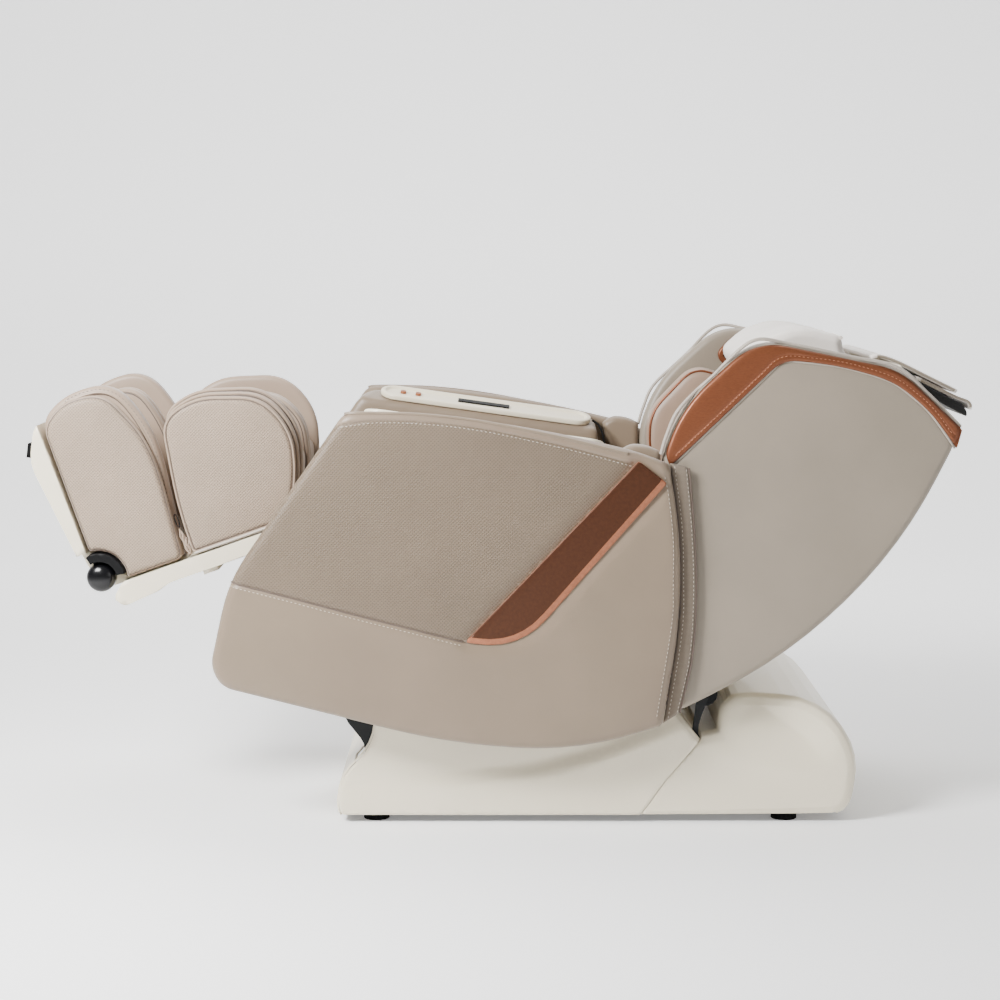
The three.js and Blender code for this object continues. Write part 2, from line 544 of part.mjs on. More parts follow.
function addBack() {
  add("back_frame", backFrame(), STEEL, back);
  add("back_shell", backShell(), CREAM, back);
  add("back_cushion", slab(BACK_CUSHION_OUTLINE, [-BACK_HALF_WIDTH, BACK_HALF_WIDTH], 8), LEATHER, back);
  add("head_pillow", slab(PILLOW_OUTLINE, [-215, 215], 12), PALE_LEATHER, back);
  add("back_flap", slab(FLAP_OUTLINE, [-190, 190]), PALE_LEATHER, back);
  add("massage_carriage", massageCarriage(), STEEL, back);
  add("massage_arms", massageArms(), STEEL, back);
  for (const [sideName, side] of Object.entries(SIDES)) {
    add(`wing_${sideName}`, slab(WING_OUTLINE, onSide(side, WING_Y), 12, 1, 2), PALE_LEATHER, back);
    add(`wing_band_${sideName}`, slab(BAND_OUTLINE, onSide(side, BAND_Y), 2), COPPER, back);
    add(`shoulder_pad_${sideName}`, slab(SHOULDER_PAD_OUTLINE, onSide(side, [228, 286.5]), 16), LEATHER, back);
    add(`speaker_${sideName}`, slab(SPEAKER_OUTLINE, onSide(side, [272, 286.5]), 3), COPPER, back);
    add(`massage_roller_upper_${sideName}`, massageRoller(side, 1), CREAM, back);
    add(`massage_roller_lower_${sideName}`, massageRoller(side, -1), CREAM, back);
  }
}

// ---- legrest, drawn from the knee: the feet are towards -X --------------------------------------------------------

const BAR_Y = [198, 225];
const BAR_OUTLINE = [[-408, -36, 6], [-396, -54, 8], [-322, -48, 14], [-300, -40, 14], [-20, -40, 30], [26, 0, 24],
  [0, 26, 24], [-40, -9, 20], [-384, -9, 6], [-404, -27, 6]];
const CALF_SIDE_OUTLINE = [[-238, -5, 12], [-236, 90, 60], [-204, 270, 60], [-130, 290, 60], [0, 250, 60],
  [38, 160, 60], [8, 60, 40], [-38, -5, 12]];
const CALF_MIDDLE_OUTLINE = [[-238, -5], [-236, 90, 60], [-200, 248, 60], [-130, 266, 60], [-6, 228, 60],
  [30, 160, 60], [8, 60, 40], [-38, -5]];
const CALF_BED_OUTLINE = [[-234, -5], [-226, 118, 20], [-90, 128, 60], [14, 110, 30], [-4, 60, 30], [-36, -5]];
const FOOT_SIDE_OUTLINE = [[-427, 46, 20], [-425, 330, 40], [-372, 362, 50], [-270, 362, 60], [-225, 240, 70],
  [-258, -5, 14], [-366, -5, 20]];
const FOOT_MIDDLE_OUTLINE = [[-425, 46], [-423, 310, 40], [-370, 338, 50], [-264, 338, 50], [-233, 240, 60],
  [-258, -5], [-366, -5]];
const FOOT_BED_OUTLINE = [[-426, 50], [-424, 300], [-404, 300], [-402, 90, 30], [-262, 60],
  [-262, -5], [-366, -5]];
const SOLE_OUTLINE = [[-440, 318, 10], [-468, 262, 20], [-446, 40, 20], [-432, -14, 12], [-262, -14], [-262, -6],
  [-370, -6], [-429.3, 44], [-429.3, 326]];
const SOLE_SIDE_OUTLINE = [[-440, 318, 10], [-468, 262, 20], [-448, 66], [-429.3, 66], [-429.3, 326]];
const BUMPER_OUTLINE = [[-451.4, 296.2], [-458.2, 299.6], [-470.2, 275.6], [-463.4, 272.2]];
const CHANNEL_Y = [26, 165]; // inner and outer wall of each leg channel
const SLIDE_Y = [170, 190];
const WHEEL = { x: -421, z: 12, radius: 28, y: [190, 222], bore: 8 };
const FOOT_ROLLER = { x: -376, z: 130, radius: 19, shaft: 7 };

function legFrame() {
  const pieces = Object.values(SIDES).map((side) => slab(BAR_OUTLINE, onSide(side, BAR_Y)));
  pieces.push(rod(0, 0, KNEE_PIN, [-244, 244]));
  for (const x of [-220, -75]) pieces.push(box([x - 15, x + 15], [-200, 200], [-50, -38]));
  return join(...pieces);
}

// Side pads, a middle pad and the bed that joins them leave an open channel for each leg.
function channelPads(sideOutline, middleOutline, bedOutline) {
  return join(
    ...Object.values(SIDES).map((side) => slab(sideOutline, onSide(side, [CHANNEL_Y[1], LEG_HALF_WIDTH]), 12)),
    slab(middleOutline, [-CHANNEL_Y[0], CHANNEL_Y[0]]),
    slab(bedOutline, [-CHANNEL_Y[1] - 20, CHANNEL_Y[1] + 20]));
}

function footPads() {
  const pads = channelPads(FOOT_SIDE_OUTLINE, FOOT_MIDDLE_OUTLINE, FOOT_BED_OUTLINE);
  const arches = Object.values(SIDES).map((side) =>
    rod(WHEEL.x, WHEEL.z, WHEEL.radius + 24, onSide(side, [178, 240]), 24));
  return cut(pads, rod(FOOT_ROLLER.x, FOOT_ROLLER.z, FOOT_ROLLER.shaft + 2, [-180, 180], 12), ...arches);
}

function footShell() {
  return join(
    slab(SOLE_OUTLINE, [-178, 178]),
    slab(SOLE_SIDE_OUTLINE, [-LEG_HALF_WIDTH, LEG_HALF_WIDTH]),
    ...Object.values(SIDES).map((side) => box([-384, -75], onSide(side, SLIDE_Y), [-34, -10])));
}

// A black arch over the wheel, with the stub axle that the wheel turns on.
function wheelBracket(side) {
  const { x, z, radius, y, bore } = WHEEL;
  const arch = new THREE.Shape();
  arch.absarc(x, z, radius + 20, -8 * DEGREES, 104 * DEGREES, false);
  arch.absarc(x, z, radius + 4, 104 * DEGREES, -8 * DEGREES, true);
  arch.closePath();
  const cheek = new THREE.Shape();
  cheek.absarc(x, z, radius + 20, -8 * DEGREES, 104 * DEGREES, false);
  cheek.lineTo(x - 8, z - 10);
  cheek.closePath();
  return join(slab(arch, onSide(side, [180, LEG_HALF_WIDTH]), 0, 6), slab(cheek, onSide(side, [180, y[0] - 1]), 0, 6),
    rod(x, z, bore - 1, onSide(side, [184, y[1] - 4]), 12));
}

function wheel(side) {
  const { x, z, radius, y, bore } = WHEEL;
  const [inner, outer] = onSide(side, y).sort((a, b) => a - b);
  const profile = [[bore, inner], [radius - 4, inner], [radius, inner + 4], [radius, outer - 4], [radius - 4, outer],
    [bore, outer], [bore, inner]];
  return turned(profile, x, z, 24);
}

function footRoller() {
  const { x, z, radius, shaft } = FOOT_ROLLER;
  const ridges = [130, 96, 62].flatMap((middle) => [[shaft, middle + 14], [radius, middle], [shaft, middle - 14]]);
  const mirrored = ridges.map(([r, y]) => [r, -y]).reverse();
  return turned([[0, 175], [shaft, 175], ...ridges, ...mirrored, [shaft, -175], [0, -175]].reverse(), x, z, 12);
}

function addLegrest() {
  add("leg_frame", legFrame(), CREAM, leg);
  add("calf_pads", channelPads(CALF_SIDE_OUTLINE, CALF_MIDDLE_OUTLINE, CALF_BED_OUTLINE), LEATHER, leg);
  add("foot_pads", footPads(), LEATHER, leg);
  add("foot_shell", footShell(), CREAM, leg);
  add("foot_roller", footRoller(), BLACK, leg);
  add("foot_bumper", slab(BUMPER_OUTLINE, [-222, 222]), RUBBER, leg);
  for (const [sideName, side] of Object.entries(SIDES)) {
    add(`wheel_bracket_${sideName}`, wheelBracket(side), BLACK, leg);
    add(`wheel_${sideName}`, wheel(side), RUBBER, leg);
  }
}

addBase();
addInlet();
addCarriage();
addBack();
addLegrest();
// The pieces are drawn round the base, so the chair moves until the middle of its length is over the origin.
chair.position.x = MIDDLE_SHIFT;

export default chair;
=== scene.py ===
# The looks of a reclining massage chair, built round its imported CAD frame.
# Feet towards -X, head towards +X, the sitter's left side towards -Y, +Z up, in metres.
import math
import bmesh
import bpy
import numpy as np
from mathutils import Matrix, Vector, noise
from mathutils.geometry import delaunay_2d_cdt


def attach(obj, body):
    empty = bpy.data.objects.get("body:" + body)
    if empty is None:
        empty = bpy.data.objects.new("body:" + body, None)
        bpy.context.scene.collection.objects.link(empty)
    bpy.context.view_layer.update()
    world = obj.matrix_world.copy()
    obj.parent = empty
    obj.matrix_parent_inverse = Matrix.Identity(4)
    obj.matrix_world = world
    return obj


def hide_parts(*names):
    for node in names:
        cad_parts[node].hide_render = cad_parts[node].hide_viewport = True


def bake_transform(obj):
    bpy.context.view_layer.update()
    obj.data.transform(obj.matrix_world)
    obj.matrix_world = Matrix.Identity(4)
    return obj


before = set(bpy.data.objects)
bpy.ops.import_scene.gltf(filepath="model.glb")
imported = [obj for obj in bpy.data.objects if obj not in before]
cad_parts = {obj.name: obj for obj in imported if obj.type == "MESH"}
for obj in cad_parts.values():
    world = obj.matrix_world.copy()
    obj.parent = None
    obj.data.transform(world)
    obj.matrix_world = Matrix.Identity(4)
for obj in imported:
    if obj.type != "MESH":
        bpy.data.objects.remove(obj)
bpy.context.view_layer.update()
MM = 0.001
SHIFT = Vector((0.02414, 0, 0))  # from the middle of the base, where outlines start, to that of the chair
SIDES = {"left": -1, "right": 1}
MERGE = 1e-5  # vertices closer than this become one
LEATHER = "padded_leather"
PALE = "pale_leather"


def add_object(name, data):
    obj = bpy.data.objects.new(name, data)
    bpy.context.scene.collection.objects.link(obj)
    return obj


class Nodes:
    """A material's node tree, with its shader and the object's own coordinates."""

    def __init__(self, name):
        self.material = bpy.data.materials.new(name)
        self.material.use_nodes = True
        self.tree = self.material.node_tree
        self.shader = self.tree.nodes["Principled BSDF"]
        self.coordinates = self.add("ShaderNodeTexCoord").outputs["Object"]

    def add(self, kind, **values):
        """A new node; a value with a capital letter sets an input, any other a setting of the node."""
        node = self.tree.nodes.new(kind)
        for key, value in values.items():
            if key[0].isupper():
                node.inputs[key.replace("_", " ")].default_value = value
            else:
                setattr(node, key, value)
        return node

    def link(self, source, target):
        self.tree.links.new(source, target)

    def texture(self, kind, scale, vector=None, **values):
        node = self.add(kind, Scale=scale, **values)
        self.link(vector or self.coordinates, node.inputs["Vector"])
        return node

    def remap(self, source, target, **limits):
        """A value mapped from one range to another and passed to a shader input."""
        node = self.add("ShaderNodeMapRange", **limits)
        self.link(source, node.inputs["Value"])
        self.link(node.outputs["Result"], self.shader.inputs[target])

    def ramp(self, source, *stops):
        """The colour between two stops, each a position and a colour."""
        node = self.add("ShaderNodeValToRGB")
        for element, (position, colour) in zip(node.color_ramp.elements, stops):
            element.position = position
            element.color = (*colour, 1)
        self.link(source, node.inputs["Fac"])
        return node.outputs["Color"]

    def bump(self, height, strength, distance, normal=None):
        node = self.add("ShaderNodeBump", Strength=strength, Distance=distance)
        self.link(height, node.inputs["Height"])
        if normal:
            self.link(normal, node.inputs["Normal"])
        return node.outputs["Normal"]

    def axes(self):
        """The object's coordinates, split into X, Y and Z."""
        split = self.add("ShaderNodeSeparateXYZ")
        self.link(self.coordinates, split.inputs[0])
        return split.outputs

    def set(self, **values):
        for key, value in values.items():
            self.shader.inputs[key.replace("_", " ")].default_value = value


# ---- camera, light and floor ----

def make_camera():
    data = bpy.data.cameras.new("camera")
    data.lens = 74.4
    data.sensor_width = 36
    camera = add_object("camera", data)
    camera.location = (-0.003, -4.12, 1.105)
    camera.rotation_euler = (math.radians(90 - 7.17), 0, 0)
    bpy.context.scene.camera = camera


def area_light(name, place, target, size, power):
    data = bpy.data.lights.new(name, "AREA")
    data.shape = "RECTANGLE"
    data.size, data.size_y = size
    data.energy = power
    light = add_object(name, data)
    light.location = place
    light.rotation_euler = (Vector(target) - Vector(place)).to_track_quat("-Z", "Y").to_euler()


def make_stage():
    world = bpy.data.worlds.new("studio")
    bpy.context.scene.world = world
    world.use_nodes = True
    sky = world.node_tree.nodes["Background"].inputs
    sky["Color"].default_value = (1, 1, 1, 1)
    sky["Strength"].default_value = 0.3
    area_light("key", (-1.5, -1.5, 1.9), (0, 0, 0.5), (0.9, 0.7), 165)
    area_light("fill", (2.6, -2.6, 1.6), (0, 0, 0.5), (1.6, 1.6), 16)
    area_light("top", (0.2, 1.0, 3.4), (0, 0, 0.4), (3.0, 2.0), 90)
    floor = make_floor()
    floor.data.materials.append(floor_paint())


def make_floor():
    """A floor that curves up into a wall behind the chair."""
    half = 14
    profile = [(-12, 0), (2.2, 0), (2.7, 0.07), (3.1, 0.28), (3.4, 0.6), (3.5, 1.1), (3.5, 6)]
    points = [(x, y, z) for y, z in profile for x in (-half, half)]
    faces = [(2 * i, 2 * i + 1, 2 * i + 3, 2 * i + 2) for i in range(len(profile) - 1)]
    mesh = bpy.data.meshes.new("floor")
    mesh.from_pydata(points, [], faces)
    mesh.shade_smooth()
    return add_object("floor", mesh)


def floor_paint():
    """White paint that glows more towards the wall."""
    n = Nodes("floor")
    n.set(Base_Color=(0.95, 0.95, 0.95, 1), Roughness=0.9, Emission_Color=(1, 1, 1, 1))
    n.remap(n.axes()["Y"], "Emission Strength", From_Min=0.4, From_Max=2.4, To_Min=0.22, To_Max=0.8)
    return n.material


make_camera()
make_stage()


# ---- materials ----

def shade(colour, factor):
    """An sRGB colour of 0 to 255 as linear light, made lighter or darker."""
    levels = [v / 255 for v in colour]
    linear = [v / 12.92 if v <= 0.04045 else ((v + 0.055) / 1.055) ** 2.4 for v in levels]
    return tuple(min(1, v * factor) for v in linear)


def leather(name, colour, rough, grain=0.5, dimples=None):
    """Grained leather; dimples is the pitch of its perforation in metres, seen square to X and Z."""
    n = Nodes(name)
    blotch = n.texture("ShaderNodeTexNoise", 7, Detail=3)
    tone = n.ramp(blotch.outputs["Fac"], (0.3, shade(colour, 0.94)), (0.7, shade(colour, 1.05)))
    cells = n.texture("ShaderNodeTexVoronoi", 620, feature="DISTANCE_TO_EDGE")
    fine = n.texture("ShaderNodeTexNoise", 240, Detail=4)
    normal = n.bump(cells.outputs["Distance"], grain, 0.0003)
    normal = n.bump(fine.outputs["Fac"], grain * 0.6, 0.0005, normal)
    if dimples:
        mask = perforation(n, dimples)
        normal = n.bump(mask, 0.8, 0.0006, normal)
        darken = n.add("ShaderNodeMix", data_type="RGBA", blend_type="MULTIPLY", Factor=0.34)
        n.link(tone, darken.inputs["A"])
        n.link(mask, darken.inputs["B"])
        tone = darken.outputs["Result"]
    n.link(tone, n.shader.inputs["Base Color"])
    n.link(normal, n.shader.inputs["Normal"])
    n.remap(fine.outputs["Fac"], "Roughness", To_Min=rough - 0.06, To_Max=rough + 0.08)
    n.set(Sheen_Weight=0.15)
    return n.material


def perforation(n, pitch):
    """A mask of small dots in diagonal rows: black in the dots, white between them."""
    axes = n.axes()
    join = n.add("ShaderNodeCombineXYZ")
    for k, operation in enumerate(("ADD", "SUBTRACT")):
        node = n.add("ShaderNodeMath", operation=operation)
        n.link(axes["X"], node.inputs[0])
        n.link(axes["Z"], node.inputs[1])
        n.link(node.outputs[0], join.inputs[k])
    scale = 1 / (1.414 * pitch)
    holes = n.add("ShaderNodeTexVoronoi", voronoi_dimensions="2D", Scale=scale, Randomness=0.0)
    n.link(join.outputs[0], holes.inputs["Vector"])
    return n.ramp(holes.outputs["Distance"], (0.22, (0, 0, 0)), (0.44, (1, 1, 1)))


def knit(name, colour, pitch):
    """Cloth of small bumps: the product of waves along X and along Z."""
    n = Nodes(name)
    product = n.add("ShaderNodeMath", operation="MULTIPLY")
    for k, axis in enumerate("XZ"):
        wave = n.texture("ShaderNodeTexWave", 1 / (6.28 * pitch) * 2, Distortion=0.4, Detail=1,
                         bands_direction=axis)
        n.link(wave.outputs["Fac"], product.inputs[k])
    tone = n.ramp(product.outputs[0], (0.05, shade(colour, 0.55)), (0.45, shade(colour, 1.08)))
    n.link(tone, n.shader.inputs["Base Color"])
    n.link(n.bump(product.outputs[0], 0.7, 0.0006), n.shader.inputs["Normal"])
    n.set(Roughness=0.85, Sheen_Weight=0.3)
    return n.material


def copper(name, colour, metallic, rough, brushed=True):
    n = Nodes(name)
    squeeze = n.add("ShaderNodeMapping", Scale=(1, 1, 5) if brushed else (1, 1, 1))
    n.link(n.coordinates, squeeze.inputs["Vector"])
    streaks = n.texture("ShaderNodeTexNoise", 160, squeeze.outputs[0], Detail=6, Roughness=0.7)
    tone = n.ramp(streaks.outputs["Fac"], (0.35, shade(colour, 0.82)), (0.65, shade(colour, 1.12)))
    n.link(tone, n.shader.inputs["Base Color"])
    n.link(n.bump(streaks.outputs["Fac"], 0.25, 0.0004), n.shader.inputs["Normal"])
    n.set(Metallic=metallic, Roughness=rough)
    return n.material


def plastic(name, colour, rough, grain=0.12, coat=0.0, specular=0.5):
    n = Nodes(name)
    speck = n.texture("ShaderNodeTexNoise", 900, Detail=2)
    cloud = n.texture("ShaderNodeTexNoise", 4, Detail=2)
    tone = n.ramp(cloud.outputs["Fac"], (0.35, shade(colour, 0.97)), (0.65, shade(colour, 1.02)))
    n.link(tone, n.shader.inputs["Base Color"])
    n.link(n.bump(speck.outputs["Fac"], grain, 0.0002), n.shader.inputs["Normal"])
    n.set(Roughness=rough, Coat_Weight=coat, Specular_IOR_Level=specular)
    return n.material


ARM_PERFORATED = leather("arm_perforated_leather", (110, 94, 76), 0.4, dimples=0.0048)
ARM_SMOOTH = leather("arm_smooth_leather", (124, 108, 90), 0.42)
ARM_DARK = leather("arm_top_leather", (129, 112, 95), 0.42)
LEG_PERFORATED = leather("leg_perforated_leather", (150, 131, 112), 0.5, dimples=0.0044)
LEG_SMOOTH = leather("leg_smooth_leather", (150, 130, 112), 0.45)
WING_LEATHER = leather("wing_leather", (137, 126, 111), 0.42, grain=0.4)
PILLOW_LEATHER = leather("pillow_leather", (231, 223, 214), 0.45)
SEAT_LEATHER = leather("seat_leather", (165, 152, 139), 0.45, dimples=0.0042)
TAUPE_LEATHER = leather("taupe_leather", (152, 128, 110), 0.42)
COPPER_LEATHER = copper("copper_leather", (117, 66, 39), 0.45, 0.4)
COPPER_PLATE = copper("copper_plate", (72, 39, 19), 0.5, 0.4, brushed=False)
COPPER_EDGE = copper("copper_edge", (156, 97, 68), 0.5, 0.34, brushed=False)
KNIT = knit("gusset_knit", (129, 115, 99), 0.0022)
CREAM = plastic("cream_plastic", (226, 216, 192), 0.32, coat=0.15)
BLACK = plastic("black_plastic", (10, 10, 11), 0.5, specular=0.15)
BLACK_GLOSS = plastic("black_gloss_plastic", (9, 9, 11), 0.22, specular=0.35)
RUBBER = plastic("black_rubber", (12, 12, 12), 0.8, grain=0.4, specular=0.1)
STEEL = plastic("black_powder_coat", (24, 25, 26), 0.5, grain=0.35, specular=0.2)
PIPING_DARK = leather("dark_piping", (88, 74, 64), 0.5)
PIPING_LIGHT = leather("light_piping", (168, 158, 146), 0.45)
THREAD = plastic("thread", (190, 180, 165), 0.7, grain=0.5)
THREAD_DARK = plastic("dark_thread", (120, 108, 96), 0.7, grain=0.5)
THREAD_COPPER = plastic("copper_thread", (196, 128, 94), 0.6, grain=0.5)
BLACK_CLOTH = knit("black_lining", (14, 14, 15), 0.003)


# ---- places ----

HIP = (240, 360, 44)  # x and z of the hinge in millimetres, lean in degrees
KNEE = (-390, 593, 19.5)


def leaning(hinge):
    """A map from the x and z of a piece that leans about a hinge to the chair's X and Z, in millimetres."""
    turn = math.radians(hinge[2])

    def place(x, z):
        return (hinge[0] + x * math.cos(turn) - z * math.sin(turn),
                hinge[1] + x * math.sin(turn) + z * math.cos(turn))
    return place


back = leaning(HIP)
leg = leaning(KNEE)


def rounded(corners, place=None):
    """A closed line in metres through corners (x, z, setback) in millimetres, of a leaning piece if place
    is given; a corner is rounded off from its setback on each side."""
    setbacks = [c[2] if len(c) > 2 else 0 for c in corners]
    corners = [Vector(place(*c[:2]) if place else c[:2]) for c in corners]
    count = len(corners)
    for i in range(count):
        j = (i + 1) % count
        room = 0.96 * (corners[i] - corners[j]).length
        wanted = setbacks[i] + setbacks[j]
        if wanted > room:
            setbacks[i] *= room / wanted
            setbacks[j] *= room / wanted
    line = []
    for i, corner in enumerate(corners):
        if setbacks[i] == 0:
            line.append(corner)
            continue
        start = corner + (corners[i - 1] - corner).normalized() * setbacks[i]
        end = corner + (corners[(i + 1) % count] - corner).normalized() * setbacks[i]
        for t in (k / 6 for k in range(7)):
            line.append(start.lerp(corner, t).lerp(corner.lerp(end, t), t))
    return np.array([(p.x, p.y) for p in line]) * MM


def resample(line, spacing, closed=True):
    """The same line with evenly spaced points."""
    points = loop(line) if closed else line
    lengths = np.concatenate([[0], np.cumsum(np.linalg.norm(np.diff(points, axis=0), axis=1))])
    count = max(8 if closed else 2, int(round(lengths[-1] / spacing)))
    at = np.linspace(0, lengths[-1], count + (0 if closed else 1), endpoint=not closed)
    return np.stack([np.interp(at, lengths, points[:, k]) for k in range(points.shape[1])], 1)


def distance(points, line, closed=True):
    """How far each point is from a line."""
    start = line if closed else line[:-1]
    along = (np.roll(line, -1, axis=0) if closed else line[1:]) - start
    keep = (along ** 2).sum(1) > 1e-14
    start, along = start[keep], along[keep]
    squares = (along ** 2).sum(1)
    best = []
    for part in np.array_split(points, 1 + len(points) // 1000):
        off = part[:, None] - start
        t = np.clip((off * along).sum(2) / squares, 0, 1)
        best.append(np.linalg.norm(off - t[..., None] * along, axis=2).min(1))
    return np.concatenate(best)


def inside(points, line):
    """Which points lie inside a closed line."""
    x1, y1 = line.T
    x2, y2 = np.roll(line, -1, axis=0).T
    slope = (x2 - x1) / np.where(y2 == y1, 1, y2 - y1)
    found = []
    for part in np.array_split(points, 1 + len(points) // 1000):
        x, y = part[:, :1], part[:, 1:]
        crosses = ((y1 > y) != (y2 > y)) & (x < slope * (y - y1) + x1)
        found.append(crosses.sum(1) % 2 == 1)
    return np.concatenate(found)


def loop(line):
    """A closed line's points, with the first one repeated at the end."""
    return np.vstack([line, line[:1]])


def inset(line, depth):
    """A closed line moved inwards."""
    area = 0.5 * np.sum(line[:, 0] * np.roll(line[:, 1], -1) - np.roll(line[:, 0], -1) * line[:, 1])
    onwards = np.roll(line, -1, axis=0) - line
    onwards /= np.linalg.norm(onwards, axis=1)[:, None]
    tangent = onwards + np.roll(onwards, 1, axis=0)
    tangent /= np.linalg.norm(tangent, axis=1)[:, None]
    normal = np.stack([-tangent[:, 1], tangent[:, 0]], 1) * (1 if area > 0 else -1)
    return line + normal * depth


# ---- meshes ----

def finish_mesh(name, bm, materials, smooth_angle=40):
    bmesh.ops.remove_doubles(bm, verts=bm.verts, dist=MERGE)
    bmesh.ops.recalc_face_normals(bm, faces=bm.faces)
    bmesh.ops.translate(bm, verts=bm.verts, vec=SHIFT)
    mesh = bpy.data.meshes.new(name)
    bm.to_mesh(mesh)
    bm.free()
    for material in materials:
        mesh.materials.append(material)
    mesh.shade_smooth()
    mesh.set_sharp_from_angle(angle=math.radians(smooth_angle))
    return add_object(name, mesh)


class Pad:
    """A closed padded form: an outline in a plane, with a rolled edge round each of its two faces.

    low and high are the two faces' heights; roll is how far the rounding reaches in from the edge, depth
    how far it falls; crown is how much the face swells, over the distance spread. seams are open lines
    pressed into the high face: (line, depth, width). holes are round wells in it: (u, v, radius, depth).
    """

    reach = 2.2  # how many of its widths a seam's own rows of points spread to each side

    def __init__(self, outline, low, high, roll=0.012, depth=None, crown=0.0, spread=0.06, seams=(),
                 holes=(), low_roll=None, spacing=0.012, edge=0.008, wrinkle=0.0, shaping=None):
        self.outline = resample(outline, edge)
        self.low, self.high = low, high
        self.roll, self.depth = roll, depth or min(roll, (high - low) * 0.48)
        self.low_roll = low_roll or roll
        self.crown, self.spread, self.holes = crown, spread, holes
        self.seams = [(resample(line, edge, closed=False), d, w) for line, d, w in seams]
        self.spacing, self.wrinkle, self.shaping = spacing, wrinkle, shaping

    def height(self, points):
        """The height of the high face at points."""
        far = distance(points, self.outline)
        t = np.clip(far / self.roll, 0, 1)
        h = self.high - self.depth + self.depth * np.sqrt(1 - (1 - t) ** 2)
        h = h + self.crown * (1 - np.exp(-far / self.spread))
        for line, deep, width in self.seams:
            h = h - deep * np.exp(-(distance(points, line, closed=False) / width) ** 2)
        for u, v, radius, deep in self.holes:
            h = h - deep * (np.hypot(points[:, 0] - u, points[:, 1] - v) < radius)
        if self.shaping:
            h = h + self.shaping(points)
        if self.wrinkle:
            waves = [noise.noise(Vector((u * 9, v * 9, self.high * 40)))
                     + 0.5 * noise.noise(Vector((u * 24, v * 24, 3))) for u, v in points]
            h = h + self.wrinkle * np.array(waves) * np.clip(far / 0.03, 0, 1)
        return h

    def along(self, line, lift=0.0):
        """A line of the outline's plane, laid on the high face once the pad is built."""
        return [self.plane @ Vector((u, v, w + lift)) for (u, v), w in zip(line, self.height(line))]

    def low_height(self, points):
        far = distance(points, self.outline)
        t = np.clip(far / self.low_roll, 0, 1)
        depth = min(self.low_roll, (self.high - self.low) * 0.48)
        return self.low + depth - depth * np.sqrt(1 - (1 - t) ** 2)

    def ring_points(self, roll):
        """Points on the rolled edge, on lines that run inside the outline."""
        rings = []
        for phi in np.linspace(0, math.pi / 2, 6)[1:]:
            depth = roll * (1 - math.cos(phi))
            ring = inset(self.outline, depth)
            rings.append(ring[(distance(ring, self.outline) > 0.97 * depth) & inside(ring, self.outline)])
        return np.vstack(rings)

    def seam_points(self, start):
        """Points along and beside the pressed lines and wells, and the edges that follow them."""
        points, edges = [], []
        rows = np.array([0, -1, 1, -self.reach, self.reach])
        lines = [(line, offset) for line, _, width in self.seams for offset in rows * width]
        for u, v, radius, _ in self.holes:
            turn = np.linspace(0, 2 * math.pi, 25)
            circle = np.stack([np.cos(turn), np.sin(turn)], 1)
            lines += [(np.array([u, v]) + circle * radius * scale, 0) for scale in (0.97, 1.03)]
        for line, offset in lines:
            moved = beside(line, offset) if offset else line
            kept = np.flatnonzero(inside(moved, self.outline) & (distance(moved, self.outline) > 0.0012))
            first = start + sum(len(p) for p in points)
            edges += [(first + i, first + i + 1) for i in np.flatnonzero(np.diff(kept) == 1).tolist()]
            points.append(moved[kept])
        return (np.vstack(points) if points else np.zeros((0, 2))), edges

    def grid_points(self, roll):
        """Staggered rows of points inside the rolled edge."""
        low, high = self.outline.min(0), self.outline.max(0)
        rows = np.arange(low[1], high[1], self.spacing)
        columns = np.arange(low[0], high[0], self.spacing)
        stagger = self.spacing / 2
        grid = np.array([(x + stagger * (r % 2), y) for r, y in enumerate(rows) for x in columns])
        grid = grid[inside(grid, self.outline)]
        return grid[distance(grid, self.outline) > roll + 0.4 * self.spacing]

    def face(self, bm, border, roll, height, zone, pressed=True):
        """One face of the pad, on an edge ring of vertices."""
        rings, grid = self.ring_points(roll), self.grid_points(roll)
        seams, edges = self.seam_points(len(border)) if pressed else ((), [])
        for line, _, width in self.seams if pressed else ():
            if len(grid):
                far = distance(grid, line, closed=False)
                grid = grid[far > self.reach * width + 0.3 * self.spacing]
            rings = rings[distance(rings, line, closed=False) > self.reach * width + 0.001]
        points = np.vstack([part for part in (self.outline, seams, rings, grid) if len(part)])
        outer = list(range(len(border)))
        flat, _, faces, sources, *_ = delaunay_2d_cdt([Vector(p) for p in points], edges, [outer], 1, 1e-7)
        flat = np.array([(p[0], p[1]) for p in flat])
        made = []
        for place, h, source in zip(flat, height(flat), sources):
            on_edge = [s for s in source if s < len(border)]
            made.append(border[on_edge[0]] if on_edge else bm.verts.new(self.plane @ Vector((*place, h))))
        zones = zone(np.array([flat[list(face)].mean(0) for face in faces]))
        for face, index in zip(faces, zones):
            corners = [made[i] for i in face]
            if len(set(corners)) < 3:
                continue
            found = bm.faces.get(corners) or bm.faces.new(corners)
            found.material_index = int(index)

    def build(self, name, plane, materials, zone=None, edge_zone=0):
        """The pad's mesh; zone gives the index of the high face's material at each point."""
        self.plane = plane
        bm = bmesh.new()
        zone = zone or (lambda points: np.zeros(len(points)))
        ends = []
        for height in (self.height, self.low_height):
            heights = height(self.outline)
            ends.append([bm.verts.new(plane @ Vector((*p, h))) for p, h in zip(self.outline, heights)])
        self.face(bm, ends[0], self.roll, self.height, zone)
        self.face(bm, ends[1], self.low_roll, self.low_height,
                  lambda points: np.full(len(points), edge_zone), pressed=False)
        for i, (a, b) in enumerate(zip(*ends)):
            j = (i + 1) % len(ends[0])
            bm.faces.new((a, ends[0][j], ends[1][j], b)).material_index = edge_zone
        return finish_mesh(name, bm, materials)


